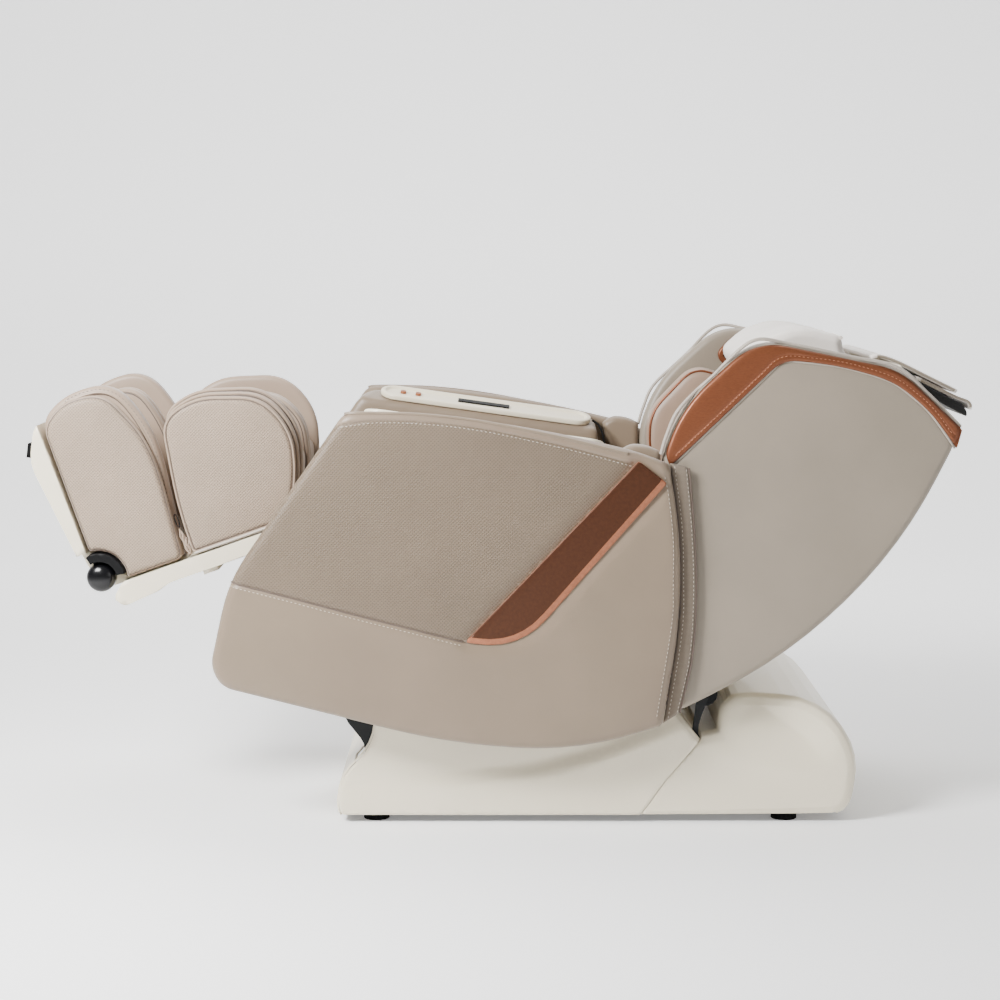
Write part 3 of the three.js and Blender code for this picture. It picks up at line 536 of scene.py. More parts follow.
def tube(bm, path, radius, sides=8, closed=False):
    """A round tube along points, with closed ends; radius is one number, or one for each point."""
    path = [Vector(p) for p in path]
    radii = radius if hasattr(radius, "__len__") else [radius] * len(path)
    turns = [2 * math.pi * k / sides for k in range(sides)]
    rings = []
    side = None
    for i, (point, r) in enumerate(zip(path, radii)):
        before = path[i - 1] if (i or closed) else point
        after = path[(i + 1) % len(path)] if (i < len(path) - 1 or closed) else point
        tangent = (after - before).normalized()
        side = side or Vector((0, 0, 1) if abs(tangent.z) < 0.9 else (1, 0, 0))
        side = (side - tangent * side.dot(tangent)).normalized()
        up = tangent.cross(side)
        rings.append([bm.verts.new(point + side * math.cos(a) * r + up * math.sin(a) * r) for a in turns])
    pairs = list(zip(rings, rings[1:])) + ([(rings[-1], rings[0])] if closed else [])
    for a, b in pairs:
        for k in range(sides):
            bm.faces.new((a[k], a[(k + 1) % sides], b[(k + 1) % sides], b[k]))
    if not closed:
        bm.faces.new(rings[0])
        bm.faces.new(rings[-1])


def piping(name, paths, radius, material, closed=False, sides=8):
    """Round cord along each path."""
    bm = bmesh.new()
    for path in paths:
        tube(bm, path, radius, sides, closed)
    return finish_mesh(name, bm, [material])


def stitches(name, paths, material, length=0.0045, gap=0.0030, radius=0.0008):
    """Short threads along surface paths."""
    bm = bmesh.new()
    fine = 0.001
    step = int(round((length + gap) / fine))
    run = int(round(length / fine))
    for path in paths:
        line = resample(np.array([tuple(p) for p in path]), fine, closed=False)
        for start in range(0, len(line) - run, step):
            piece = line[start:start + run + 1:2]
            tube(bm, piece, [radius * 0.5] + [radius] * (len(piece) - 2) + [radius * 0.5], 5)
    return finish_mesh(name, bm, [material])


def beside(line, sideways):
    """An open line moved to its left, or to its right if sideways is negative."""
    tangent = np.gradient(line, axis=0)
    tangent /= np.linalg.norm(tangent, axis=1)[:, None]
    return line + np.stack([-tangent[:, 1], tangent[:, 0]], 1) * sideways


def line_at(points, place=None, spacing=0.008):
    """A smooth open line through (x, z) in millimetres, of a leaning piece if place is given."""
    p = np.array([place(x, z) if place else (x, z) for x, z in points], float) * MM
    ends = np.vstack([2 * p[0] - p[1], p, 2 * p[-1] - p[-2]])
    line = []
    for a, b, c, d in zip(ends, ends[1:], ends[2:], ends[3:]):
        for t in np.linspace(0, 1, 12, endpoint=False):
            line.append(0.5 * (2 * b + (c - a) * t + (2 * a - 5 * b + 4 * c - d) * t ** 2
                               + (3 * b - a - 3 * c + d) * t ** 3))
    line.append(p[-1])
    return resample(np.array(line), spacing, closed=False)


def wear(obj, body, slot, *replaced, pad=None):
    """Gives a piece its body and hides the CAD nodes it stands for; slot (meant as its material slot) and
    pad (meant as its fill) are not used.
    """
    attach(obj, body)
    if replaced:
        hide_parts(*replaced)


def welt(pad, line, lift, name, radius, material, body, slot=LEATHER, closed=False, sides=8):
    """Cord along a line on a pad."""
    wear(piping(name, [pad.along(line, lift)], radius, material, closed, sides), body, slot)


def side_plane(side, inwards=False):
    """Turns (u, v, w) into X, Z and the distance from the middle plane; inwards, w is minus that."""
    out = -side if inwards else side
    return Matrix(((1, 0, 0, 0), (0, 0, out, 0), (0, 1, 0, 0), (0, 0, 0, 1)))


def over(points, line):
    """Which points are above a line that runs along X."""
    order = np.argsort(line[:, 0])
    return points[:, 1] > np.interp(points[:, 0], line[order, 0], line[order, 1])


def copy_node(node, name):
    obj = add_object(name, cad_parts[node].data.copy())
    obj.data.materials.clear()
    return obj


def soften(node, material, voxel=0.007, rounds=8, wrinkle=0.0015):
    """A padded form in a CAD solid's place, with its edges relaxed and its faces creased."""
    obj = copy_node(node, f"{node}_cover")
    remesh = obj.modifiers.new("voxels", "REMESH")
    remesh.mode = "VOXEL"
    remesh.voxel_size = voxel
    smooth = obj.modifiers.new("relax", "SMOOTH")
    smooth.factor = 0.5
    smooth.iterations = rounds
    depsgraph = bpy.context.evaluated_depsgraph_get()
    mesh = bpy.data.meshes.new_from_object(obj.evaluated_get(depsgraph))
    obj.modifiers.clear()
    obj.data = mesh
    seed = sum(map(ord, node)) % 97
    before = [(v.co.copy(), v.normal.copy()) for v in mesh.vertices]
    for vertex, (place, normal) in zip(mesh.vertices, before):
        swell = noise.noise(place * 9 + Vector((seed, 0, 0)))
        crease = noise.ridged_multi_fractal(place * 7 + Vector((0, seed, 0)), 0.9, 2.1, 3, 0.9, 1.8)
        vertex.co = place + normal * (wrinkle * (swell + 0.35 * (crease - 1)))
    mesh.materials.append(material)
    mesh.shade_smooth()
    return obj


def refine(node, material, longest=0.012, shaping=None, angle=32):
    """A finer copy of a hard CAD solid, with each vertex moved by shaping(place)."""
    obj = copy_node(node, f"{node}_form")
    bm = bmesh.new()
    bm.from_mesh(obj.data)
    bmesh.ops.remove_doubles(bm, verts=bm.verts, dist=MERGE)
    for _ in range(7):
        long_edges = [e for e in bm.edges if e.calc_length() > longest]
        if not long_edges:
            break
        bmesh.ops.subdivide_edges(bm, edges=long_edges, cuts=1, use_grid_fill=False)
        bmesh.ops.triangulate(bm, faces=[f for f in bm.faces if len(f.verts) > 3])
    if shaping:
        for vertex in bm.verts:
            vertex.co += shaping(vertex.co - SHIFT)
    bm.to_mesh(obj.data)
    bm.free()
    obj.data.materials.append(material)
    obj.data.shade_smooth()
    obj.data.set_sharp_from_angle(angle=math.radians(angle))
    return obj


def dress(material, *nodes):
    """A better material for CAD pieces whose own shape is shown."""
    for node in nodes:
        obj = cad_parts[node]
        obj.data.materials.clear()
        obj.data.materials.append(material)


def ease(low, high, value):
    """0 below low, 1 above high and a soft slope between them."""
    t = min(1.0, max(0.0, (value - low) / (high - low)))
    return t * t * (3 - 2 * t)


# ---- arms: padded side, copper trim, gusset, armrest and tray ----

ARM = [(-312, 793, 20), (-180, 792, 70), (40, 764, 120), (225, 720, 32), (284, 697, 8), (306, 560, 100),
       (306, 400, 100), (276, 207, 5), (125, 157, 130), (-120, 171, 130), (-545, 279, 30), (-566, 318, 30),
       (-530, 478, 60)]
TRIM = [(227, 704, 2), (279, 663, 2), (8, 352, 80), (-92, 367, 6)]
GUSSET = [(278, 207.5), (307, 226, 4), (331, 333, 60), (338, 446, 60), (333, 560, 60), (319, 690, 4),
          (286, 697.5), (308, 560, 100), (308, 400, 100)]
ARM_SEAM = line_at([(-524, 478), (-420, 452), (-300, 420), (-190, 392), (-96, 368)])
ARM_TOP_SEAM = line_at([(-318, 770), (-250, 778), (-160, 775), (-60, 763), (60, 738), (150, 716),
                        (214, 698)])
ARM_TOP_EDGE = line_at([(-312, 788.5), (-300, 790.5), (-240, 790.5), (-160, 787), (-60, 775), (60, 752),
                        (150, 731), (206, 717)])
ARM_REAR_SEAM = line_at([(268, 226), (294, 400), (296, 470), (295, 560), (286, 640), (279, 676)])
TRIM_CORNER = (-0.092, 0.367)  # the front lower corner of the trim plate
TRIM_RISE = 1.056  # how steeply the plate climbs from there
TRIM_EDGE = 0.012  # how wide the plate's bright edge is


def trim_recess(points):
    """The arm's face sinks round the trim plate, so that the plate's edge shows."""
    outline = resample(rounded(TRIM), 0.006)
    far = np.where(inside(points, outline), 0, distance(points, outline))
    return -0.0055 * np.exp(-(far / 0.012) ** 2)


def arm_side(name, side):
    pad = Pad(rounded(ARM), 0.330, 0.3605, roll=0.016, crown=0.0065, spread=0.09, spacing=0.0105,
              wrinkle=0.0009, shaping=trim_recess,
              seams=[(ARM_SEAM, 0.004, 0.0028), (ARM_TOP_SEAM, 0.0022, 0.002),
                     (ARM_REAR_SEAM, 0.0015, 0.002)])

    def zone(points):
        u, v = points.T
        over_trim = v - TRIM_CORNER[1] > (u - TRIM_CORNER[0]) * TRIM_RISE
        above = np.where(u > ARM_SEAM[-1][0], over_trim, over(points, ARM_SEAM))
        rim = above & over(points, ARM_TOP_SEAM) & (u > -0.33) & (v > 0.68)
        return np.where(rim, 2, np.where(above, 0, 1))
    leathers = [ARM_PERFORATED, ARM_SMOOTH, ARM_DARK]
    cover = pad.build(f"arm_cover_{name}", side_plane(side), leathers, zone, 1)
    wear(cover, "carriage", LEATHER, f"arm_panel_{name}", pad=0.8)
    rows = [pad.along(beside(line, sideways), 0.0004)
            for line, sideways in ((ARM_SEAM, -0.007), (ARM_TOP_SEAM, -0.004), (ARM_REAR_SEAM, 0.004))]
    wear(stitches(f"arm_stitches_{name}", rows, THREAD), "carriage", LEATHER)
    welt(pad, ARM_TOP_EDGE, 0.0, f"arm_piping_{name}", 0.0035, ARM_SMOOTH, "carriage")
    welt(pad, ARM_SEAM, 0.0012, f"arm_seam_piping_{name}", 0.0018, PIPING_DARK, "carriage", sides=6)


def arm_trim(name, side):
    edge = resample(rounded(TRIM)[10:25], 0.006, closed=False)
    crease = beside(edge, -TRIM_EDGE)

    def shaping(points):
        return -0.4 * np.clip(TRIM_EDGE - distance(points, edge, closed=False), 0, TRIM_EDGE)
    pad = Pad(rounded(TRIM), 0.3535, 0.3685, roll=0.0016, spacing=0.014, edge=0.006, shaping=shaping,
              seams=[(crease, 0.0, 0.0012)])

    def zone(points):
        return distance(points, edge, closed=False) < TRIM_EDGE + 0.0001
    plate = pad.build(f"trim_plate_{name}", side_plane(side), [COPPER_PLATE, COPPER_EDGE], zone, 1)
    wear(plate, "carriage", "copper", f"arm_trim_{name}")


def gusset(name, side):
    pad = Pad(rounded(GUSSET), 0.3303, 0.337, roll=0.006, crown=0.003, spread=0.01, spacing=0.008,
              edge=0.006)
    cloth = pad.build(f"gusset_cloth_{name}", side_plane(side), [KNIT])
    wear(cloth, "carriage", "gusset_knit", f"gusset_{name}", pad=0.5)
    rear = line_at([(309, 228), (331, 333), (337, 446), (333, 560), (321, 688)])
    front = line_at([(281, 212), (306, 380), (308, 480), (304, 580), (289, 694)])
    paths = [[Vector((x, side * 0.3345, z)) for x, z in line] for line in (rear, front)]
    wear(piping(f"gusset_piping_{name}", paths, 0.0022, PIPING_DARK, sides=6), "carriage", "gusset_knit")
    rows = [pad.along(beside(line, sideways), 0.0005)
            for line, sideways in ((rear, 0.005), (front, -0.005))]
    wear(stitches(f"gusset_stitches_{name}", rows, THREAD), "carriage", "gusset_knit")


TRAY = {"x": -58, "y": 284, "z": 749, "slope": 7.9, "roll": 13, "length": 452, "width": 72, "thickness": 12}
KEYS = (-178, -146)  # how far along the tray the wells of its two keys are


def tray_plane(side):
    place = Matrix.Translation(Vector((TRAY["x"], side * TRAY["y"], TRAY["z"])) * MM)
    turn = Matrix.Rotation(math.radians(TRAY["slope"]), 4, "Y")
    return place @ turn @ Matrix.Rotation(math.radians(side * TRAY["roll"]), 4, "X")


def stadium(length, width):
    """A closed outline with two straight sides and two round ends."""
    radius = width / 2
    ends = []
    for centre, first in ((length / 2 - radius, -90), (radius - length / 2, 90)):
        for k in range(13):
            turn = math.radians(first + 15 * k)
            ends.append((centre + radius * math.cos(turn), radius * math.sin(turn)))
    return np.array(ends) * MM


def tray(name, side):
    """A dished board; the right one has wells for two keys."""
    outline = stadium(TRAY["length"], TRAY["width"])
    dense = resample(outline, 0.006)

    def dish(points):
        return -0.0044 * np.clip((distance(points, dense) - 0.009) / 0.004, 0, 1)
    wells = [(x * MM, 0, 0.0068, 0.0050) for x in KEYS] if side > 0 else []
    rim = resample(inset(dense, 0.0108), 0.006)
    pad = Pad(outline, 0.0002, TRAY["thickness"] * MM + 0.0004, roll=0.004, spacing=0.009, edge=0.005,
              shaping=dish, holes=wells, seams=[(rim, 0.0, 0.0022)])
    board = pad.build(f"tray_board_{name}", tray_plane(side), [CREAM])
    wear(board, "carriage", "cream_plastic", f"armrest_tray_{name}")


def armrests(name, side):
    roll = soften(f"armrest_pad_{name}", ARM_SMOOTH, rounds=6, wrinkle=0.0008)
    wear(roll, "carriage", LEATHER, f"armrest_pad_{name}", pad=0.8)
    tray(name, side)


# ---- seat and back ----

WING = [(262, 226, 30), (350, 273, 75), (540, 269, 62), (694, 42, 45), (702, -122, 16), (470, -206, 160),
        (180, -212, 160), (-42, -146, 12), (28, -30, 20)]
BAND = [(264, 204), (270, 226, 14), (352, 269, 72), (537, 265, 60), (690, 40, 42), (698, -121), (667, -140),
        (678, -60, 40), (668, 30, 40), (612, 128, 60), (548, 203, 30)]
SHOULDER = [(238, 50, 30), (232, 178, 40), (300, 246, 40), (440, 252, 40), (474, 180, 30), (474, 50, 20)]
SPEAKER = [(488, 158, 18), (484, 232, 24), (556, 232, 24), (606, 158, 24), (580, 136, 18), (510, 136, 18)]
BAND_LOWER = line_at([(268, 205), (400, 205), (500, 205), (545, 203), (580, 168), (623, 113), (664, 40),
                      (675, -10), (678, -60), (668, -138)], back)
WING_RIM = line_at([(266, 232), (300, 251), (350, 270), (440, 270), (530, 268), (575, 218), (640, 122),
                    (690, 46), (698, -30), (700, -116)], back)
WING_FACE = 0.3205  # the outer face's distance from the middle plane


def wing(name, side):
    """A padded side of the back, with a copper band along its upper edge."""
    plane = side_plane(side)
    body = Pad(rounded(WING, back), 0.2875, WING_FACE, roll=0.014, crown=0.003, spread=0.08,
               wrinkle=0.0010, seams=[(beside(BAND_LOWER, -0.004), 0.002, 0.0025)])
    cover = body.build(f"wing_cover_{name}", plane, [WING_LEATHER])
    wear(cover, "backrest", PALE, f"wing_{name}", pad=0.8)

    def follow(points):
        return body.height(points) - WING_FACE
    middle = BAND_LOWER[2:-3]
    band = Pad(rounded(BAND, back), 0.3195, 0.3255, roll=0.005, depth=0.0035, spacing=0.007,
               edge=0.006, low_roll=0.001, shaping=follow,
               seams=[(beside(middle, 0.009), 0.0012, 0.0018)])
    band_cover = band.build(f"wing_band_cover_{name}", plane, [COPPER_LEATHER])
    wear(band_cover, "backrest", "copper", f"wing_band_{name}", pad=0.6)
    row = band.along(beside(middle, 0.007), 0.0004)
    wear(stitches(f"wing_stitches_{name}", [row], THREAD_COPPER, radius=0.0006), "backrest", "copper")
    lower = beside(BAND_LOWER, -0.003)
    for line, lift, piece, radius, material, sides in (
            (lower, 0.0008, "wing_piping", 0.002, PIPING_LIGHT, 6),
            (beside(lower, 0.003), 0.0006, "wing_line", 0.0014, PIPING_DARK, 6),
            (WING_RIM, 0.0012, "wing_rim", 0.0034, PIPING_LIGHT, 8)):
        welt(body, line, lift, f"{piece}_{name}", radius, material, "backrest", PALE, sides=sides)


def inner_side(name, side):
    """The shoulder pad and the speaker inside a wing."""
    plane = side_plane(side, inwards=True)
    pad = Pad(rounded(SHOULDER, back), -0.2865, -0.236, roll=0.018, crown=0.008, spread=0.04,
              wrinkle=0.0012)
    cover = pad.build(f"shoulder_cover_{name}", plane, [TAUPE_LEATHER])
    wear(cover, "backrest", LEATHER, f"shoulder_pad_{name}", pad=0.8)
    welt(pad, inset(pad.outline, 0.006), 0.001, f"shoulder_piping_{name}", 0.0025, COPPER_LEATHER,
         "backrest", closed=True)
    outline = rounded(SPEAKER, back)
    grille_edge = resample(inset(resample(outline, 0.006), 0.011), 0.005)

    def in_grille(points):
        return inside(points, grille_edge)
    speaker = Pad(outline, -0.2865, -0.2725, roll=0.004, spacing=0.008, edge=0.005,
                  shaping=lambda points: np.where(in_grille(points), -0.003, 0),
                  seams=[(loop(grille_edge), 0.0, 0.0008)])
    grille = speaker.build(f"speaker_grille_{name}", plane, [COPPER_LEATHER, BLACK_CLOTH], in_grille)
    wear(grille, "backrest", "copper", f"speaker_{name}")


def strip(line, near, far):
    """The closed outline between two offsets of an open line."""
    return np.vstack([beside(line, near), beside(line, far)[::-1]])


FLAP_UPPER = line_at([(681, 75), (696, 65), (713, 33), (735, -27), (757, -88)], back, 0.006)
FLAP_LOWER = line_at([(718, -15), (724, -31), (746, -92), (757, -115), (757, -127), (750, -135)], back,
                     0.005)
FLAP_LINING = [(701, 22, 4), (709, 8, 6), (716, -35, 20), (737, -93, 20), (745, -114, 6), (741, -132, 4),
               (734, -139, 3), (713, -76, 20), (701, -20, 6)]


def back_flap():
    """Two thin piped pads folded over the top of the back, with a black lining under them."""
    layers = [("flap_upper", strip(FLAP_UPPER, -0.0006, -0.0085), 0.189, PILLOW_LEATHER, 0.0034),
              ("flap_lower", strip(FLAP_LOWER, 0, -0.0065), 0.188, PILLOW_LEATHER, 0.003),
              ("flap_lining", rounded(FLAP_LINING, back), 0.186, BLACK_CLOTH, 0.003)]
    for name, outline, half, material, roll in layers:
        pad = Pad(outline, -half, half, roll=roll, depth=roll, spacing=0.01, edge=0.004)
        replaced = ["back_flap"] if name == "flap_upper" else []
        wear(pad.build(name, side_plane(1), [material]), "backrest", PALE, *replaced, pad=0.6)
    edges = [[Vector((x, side * 0.1885, z)) for x, z in beside(line, sideways)[2:-1]]
             for side in (-1, 1) for line, sideways in ((FLAP_UPPER, -0.0045), (FLAP_LOWER, -0.003))]
    wear(piping("flap_piping", edges, 0.0026, WING_LEATHER), "backrest", PALE)


def arm_filler(name, side):
    """Loose leather between the top of the arm and the wing."""
    outline = rounded([(192, 716, 6), (214, 731, 12), (246, 728, 14), (270, 716, 4), (270, 664, 4),
                       (252, 650, 10), (204, 668, 12)])
    pad = Pad(outline, 0.291, 0.3255, crown=0.002, spread=0.02, spacing=0.006, edge=0.005, wrinkle=0.003)
    obj = pad.build(f"arm_filler_{name}", side_plane(side), [ARM_SMOOTH])
    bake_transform(obj)


def pillow_fold():
    """The fold along the pillow's upper edge, a thick cord that waves a little."""
    x, z = back(662, 142)
    path = [Vector((x, y, z + 0.6 * math.sin(y / 23))) * MM for y in range(-206, 207, 4)]
    wear(piping("pillow_edge", [path], 0.0042, PILLOW_LEATHER), "backrest", PALE)


def seat_and_back():
    wear(soften("seat_cushion", SEAT_LEATHER), "carriage", LEATHER, "seat_cushion", pad=0.8)
    wear(soften("back_cushion", WING_LEATHER), "backrest", LEATHER, "back_cushion", pad=0.8)
    pillow = soften("head_pillow", PILLOW_LEATHER, voxel=0.005, rounds=4, wrinkle=0.0026)
    wear(pillow, "backrest", PALE, "head_pillow", pad=0.7)
    pillow_fold()
    back_flap()
    for name, side in SIDES.items():
        arm_filler(name, side)
    wear(refine("back_shell", CREAM), "backrest", "cream_plastic", "back_shell")


# ---- legs ----

CALF_OUTER = [(-238, -4, 12), (-236, 90, 60), (-207, 258, 60), (-130, 278, 60), (-10, 236, 60),
              (24, 152, 60), (-2, 60, 40), (-44, -4, 12)]
CALF_SECOND = [(-237, -5, 12), (-235, 90, 60), (-204, 263, 60), (-130, 284, 60), (-5, 243, 60),
               (31, 156, 60), (3, 60, 40), (-41, -5, 12)]
CALF_INNER = [(-238, -5, 12), (-236, 90, 60), (-204, 270, 60), (-130, 290, 60), (0, 250, 60),
              (38, 160, 60), (8, 60, 40), (-38, -5, 12)]
CALF_MIDDLE = [(-238, -5, 10), (-236, 90, 60), (-200, 248, 60), (-130, 266, 60), (-6, 228, 60),
               (30, 160, 60), (8, 60, 40), (-38, -5, 10)]
CALF_BED = [(-234, -5, 6), (-226, 118, 20), (-90, 128, 60), (14, 110, 30), (-4, 60, 30), (-36, -5, 6)]
ARCH = [(-373, -5, 3), (-370, 12, 8), (-377, 38, 10), (-396, 57, 10), (-413, 63, 4)]
FOOT = [(-425, 66, 6), (-423, 318, 40), (-372, 350, 50), (-292, 346, 60), (-246, 240, 80), (-243, 170, 40),
        (-258, -5, 14), *ARCH]
FOOT_SECOND = [(-425, 66, 6), (-425, 330, 40), (-372, 361, 50), (-270, 361, 60), (-227, 240, 70),
               (-258, -5, 14), *ARCH]
FOOT_MIDDLE = [(-425, 46, 6), (-423, 310, 40), (-370, 338, 50), (-264, 338, 50), (-233, 240, 60),
               (-258, -5, 14), (-366, -5, 20)]
FOOT_BED = [(-426, 50, 4), (-424, 300, 8), (-404, 300, 8), (-402, 90, 30), (-262, 60, 20),
            (-262, -5, 6), (-366, -5, 20)]
BETWEEN_LEGS = (0.0004, 0.0256)  # distances from the middle plane of half the middle pad
CHANNEL = (0.0264, 0.1648)  # and of the channel's bed beside it


def leg_panel(name, corners, faces, margin, seam, body, replaced, side, **shape):
    """The outer layer of a leg pad: a perforated panel inside a plain edge, with a dark seam between."""
    outline = rounded(corners, leg)
    panel = inset(resample(outline, 0.006), margin)
    pad = Pad(outline, *faces, crown=0.0045, spread=0.05, spacing=0.0095, edge=0.006, wrinkle=0.001,
              seams=[(loop(panel), *seam)], **shape)
    cover = pad.build(name, side_plane(side), [LEG_PERFORATED, LEG_SMOOTH],
                      lambda points: ~inside(points, panel), 1)
    wear(cover, body, LEATHER, *([replaced] if side < 0 else []), pad=0.8)
    return pad, panel


def leg_layer(name, corners, faces, body, side, seam=None, roll=0.010):
    """A plain layer of leg padding between two distances from the middle, piped round if seam is given."""
    pad = Pad(rounded(corners, leg), *faces, spacing=0.014, roll=roll, crown=0.002, spread=0.03)
    wear(pad.build(name, side_plane(side), [LEG_SMOOTH]), body, LEATHER, pad=0.8)
    if seam:
        welt(pad, inset(pad.outline, seam), 0.0006, f"{name}_piping", 0.0022, LEG_SMOOTH, body,
             closed=True, sides=6)
        welt(pad, inset(pad.outline, seam + 0.003), 0.0002, f"{name}_line", 0.0012, PIPING_DARK, body,
             closed=True, sides=5)
    return pad


def calf(name, side):
    pad, panel = leg_panel(f"calf_cover_{name}", CALF_OUTER, (0.2056, 0.2225), 0.0065, (0.0022, 0.0016),
                           "legrest", "calf_pads", side, roll=0.013, depth=0.0095)
    welt(pad, inset(pad.outline, 0.0035), 0.0006, f"calf_piping_{name}", 0.0022, LEG_SMOOTH, "legrest",
         closed=True, sides=6)
    welt(pad, panel, 0.0006, f"calf_line_{name}", 0.0011, PIPING_DARK, "legrest", closed=True, sides=5)
    leg_layer(f"calf_second_{name}", CALF_SECOND, (0.1868, 0.2050), "legrest", side, 0.004)
    leg_layer(f"calf_inner_{name}", CALF_INNER, (0.1654, 0.1862), "legrest", side, 0.004)
    leg_layer(f"calf_middle_{name}", CALF_MIDDLE, BETWEEN_LEGS, "legrest", side, 0.005)
    leg_layer(f"calf_bed_{name}", CALF_BED, CHANNEL, "legrest", side, roll=0.012)
    foot_line = line_at([(-232, -2.5), (-140, -2.5), (-44, -2.5)], leg)
    path = [Vector((x, side * 0.221, z)) for x, z in foot_line]
    wear(piping(f"calf_welt_{name}", [path], 0.0028, PIPING_LIGHT), "legrest", LEATHER)


def foot(name, side):
    pad, panel = leg_panel(f"foot_cover_{name}", FOOT, (0.2000, 0.2215), 0.0040, (0.0024, 0.0017),
                           "footrest", "foot_pads", side, roll=0.015, depth=0.0115)
    welt(pad, panel, 0.0005, f"foot_line_{name}", 0.0011, PIPING_DARK, "footrest", closed=True, sides=5)
    second = leg_layer(f"foot_second_{name}", FOOT_SECOND, (0.1654, 0.1994), "footrest", side, 0.012)
    sewn = inset(second.outline, 0.006)
    sewn = sewn[(sewn[:, 1] > leg(-300, 60)[1] * MM) & (sewn[:, 0] > leg(-424, 200)[0] * MM)]
    row = stitches(f"foot_stitches_{name}", [second.along(sewn, 0.0005)], THREAD_DARK, length=0.0042,
                   gap=0.0042, radius=0.001)
    wear(row, "footrest", LEATHER)
    leg_layer(f"foot_middle_{name}", FOOT_MIDDLE, BETWEEN_LEGS, "footrest", side, 0.006)
    leg_layer(f"foot_bed_{name}", FOOT_BED, CHANNEL, "footrest", side, roll=0.006)


def wheel(name, side):
    """A domed plastic wheel that turns on the stub of its bracket."""
    x, z = leg(-421, 12)
    steps = 48
    profile = [(8.2, 190), (22, 190), (26, 192), (28, 196), (28, 211), (26, 218), (21, 223.5), (14, 227),
               (7, 228.6), (0, 229), (0, 219.5), (8.2, 219.5)]
    bm = bmesh.new()
    rings = []
    for radius, y in profile:
        turns = [0] if radius == 0 else [2 * math.pi * k / steps for k in range(steps)]
        places = [Vector((x + radius * math.cos(t), side * y, z + radius * math.sin(t))) for t in turns]
        rings.append([bm.verts.new(place * MM) for place in places])
    for a, b in zip(rings, rings[1:] + rings[:1]):
        for k in range(steps):
            corners = [a[k % len(a)], a[(k + 1) % len(a)], b[(k + 1) % len(b)], b[k % len(b)]]
            corners = list(dict.fromkeys(corners))
            if len(corners) > 2:
                bm.faces.new(corners)
    obj = finish_mesh(f"wheel_dome_{name}", bm, [BLACK_GLOSS], 50)
    wear(obj, f"transport_wheel_{name}", "rubber", f"wheel_{name}")


def gathered_cloth(name, side):
    """The lining gathered between the calf and foot pads, in five uneven folds."""
    bm = bmesh.new()
    ends = 14
    for k in range(5):
        fold, sizes = [], []
        for i in range(ends + 1):
            t = i / ends
            sway = 1.6 * math.sin(7 * t + 2.1 * k) + 1.1 * math.sin(15 * t + k)
            x, z = leg(-248.2 + 1.9 * k + sway * (1 - 0.4 * t), -2 + (52 - 5 * k) * t)
            fold.append(Vector((x, side * (208 + 2.2 * (k % 2) + 1.5 * math.sin(9 * t + k)), z)) * MM)
            sizes.append(0.0016 + 0.0011 * math.sin(math.pi * i / ends))
        tube(bm, fold, sizes, 8)
    wear(finish_mesh(f"gathered_cloth_{name}", bm, [LEG_SMOOTH]), "legrest", LEATHER)


def zip_pull(name, side):
    """The thin loop that hangs from the lining's zip."""
    ring = []
    for k in range(20):
        t = 2 * math.pi * k / 20
        x, z = leg(-245.5 + 3.2 * math.sin(t), 66 + 13 * math.cos(t))
        ring.append(Vector((x, side * 213, z)) * MM)
    wear(piping(f"zip_pull_{name}", [ring], 0.0011, BLACK_GLOSS, True, 6), "legrest", LEATHER)


def legs():
    for name, side in SIDES.items():
        calf(name, side)
        foot(name, side)
        wheel(name, side)
        gathered_cloth(name, side)
        zip_pull(name, side)
        bracket = refine(f"wheel_bracket_{name}", BLACK, 0.008)
        wear(bracket, "footrest", "black_plastic", f"wheel_bracket_{name}")
    wear(refine("foot_shell", CREAM, 0.02), "footrest", "cream_plastic", "foot_shell")
    wear(refine("leg_frame", CREAM, 0.02), "legrest", "cream_plastic", "leg_frame")


# ---- base ----

FRONT_RIDGE = line_at([(-348, 38), (-330, 42), (-234, 58), (-98, 70), (38, 84), (140, 109), (242, 147),
                       (323, 182), (345, 196)])
REAR_SHOULDER = line_at([(336, 180), (354, 171), (392, 130), (446, 114), (514, 98), (575, 98),
                         (609, 119), (623, 165), (612, 205), (585, 250)])


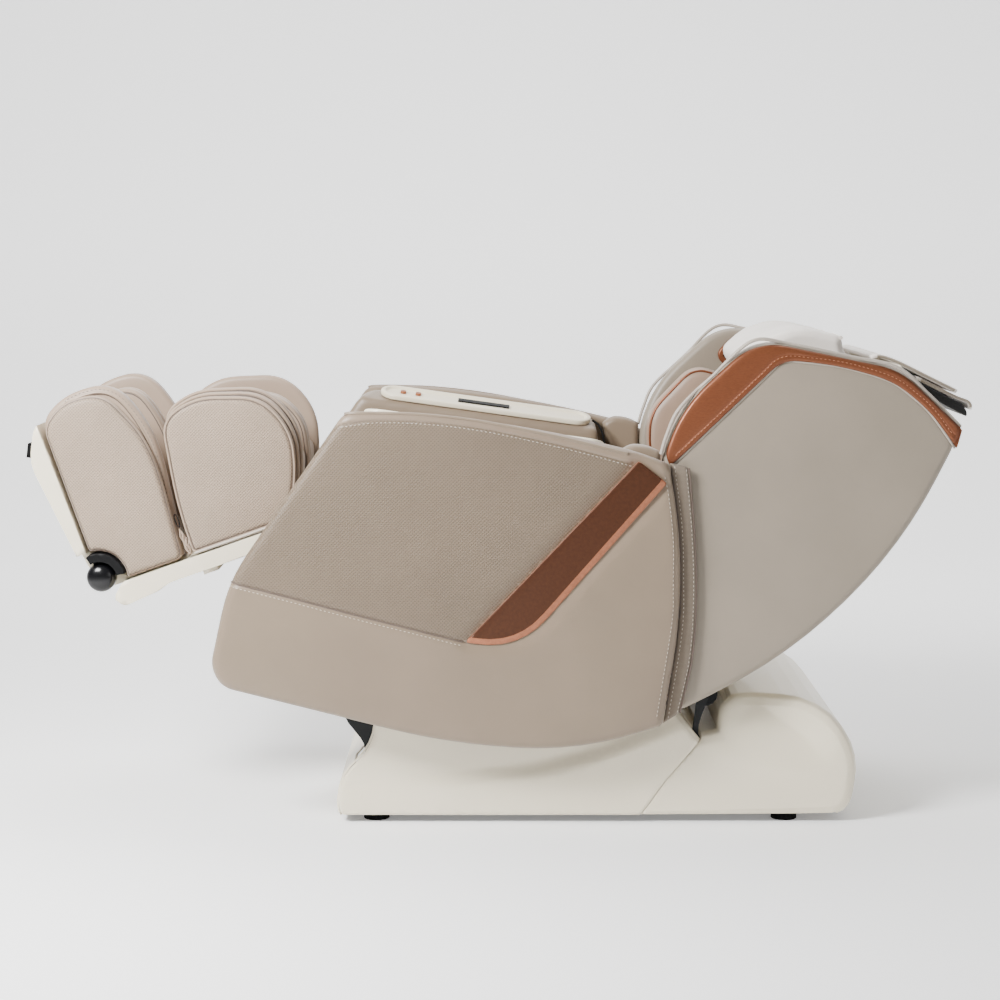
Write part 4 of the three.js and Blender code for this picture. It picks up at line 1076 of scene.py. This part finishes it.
def front_cover_shaping(place):
    """The upper part of each side steps in softly above a ridge that climbs to the rear."""
    if abs(place.y) < 0.20:
        return Vector()
    point = np.array([[place.x, place.z]])
    if not over(point, FRONT_RIDGE)[0]:
        return Vector()
    far = distance(point, FRONT_RIDGE, closed=False)[0]
    deep = 0.005 + 0.012 * ease(-0.15, 0.15, place.x)
    return Vector((0, -math.copysign(deep * ease(0, 0.034, far), place.y), 0))


def hem(place):
    """The foot of a cover reaches down to just above the floor."""
    return Vector((0, 0, -0.009 * (1 - ease(0.03, 0.09, place.z))))


def rear_cover_shaping(place):
    """Each side turns in above a rounded shoulder, as a dished face that leans to the top."""
    point = np.array([[place.x, place.z]])
    closed = np.vstack([REAR_SHOULDER, [[0.58, 0.27], [0.33, 0.27]]])
    if place.z < 0.085 or not inside(point, closed)[0]:
        return Vector()
    far = distance(point, REAR_SHOULDER, closed=False)[0]
    inwards = min(0.36 * (far - 0.016 + 0.016 * math.exp(-far / 0.016)), 0.045)
    share = min(1, max(0, (abs(place.y) - 0.08) / 0.2))
    return Vector((0, -math.copysign(inwards * share, place.y), 0))


def base():
    for part, shaping in (("front", front_cover_shaping), ("rear", rear_cover_shaping)):
        node = f"base_cover_{part}"
        cover = refine(node, CREAM, shaping=lambda place: shaping(place) + hem(place), angle=40)
        wear(cover, "base", "cream_plastic", node)


# ---- whole object ----

for name, side in SIDES.items():
    for make in (arm_side, arm_trim, gusset, armrests, wing, inner_side):
        make(name, side)
seat_and_back()
legs()
base()
dress(STEEL, "base_frame", "seat_frame", "back_frame", "control_box", "massage_carriage", "massage_arms")
dress(BLACK, "front_roller_shaft", "rear_roller_shaft", "tilt_gearmotor", "knee_gearmotor", "hip_gearmotor",
      "power_inlet", "power_switch", "keypad_display")
dress(RUBBER, "foot_front_left", "foot_front_right", "foot_rear_left", "foot_rear_right", "foot_bumper",
      "remote_cord", "foot_roller")
dress(COPPER_EDGE, "key_power", "key_programme")
dress(CREAM, *(f"massage_roller_{level}_{name}" for level in ("upper", "lower") for name in SIDES))
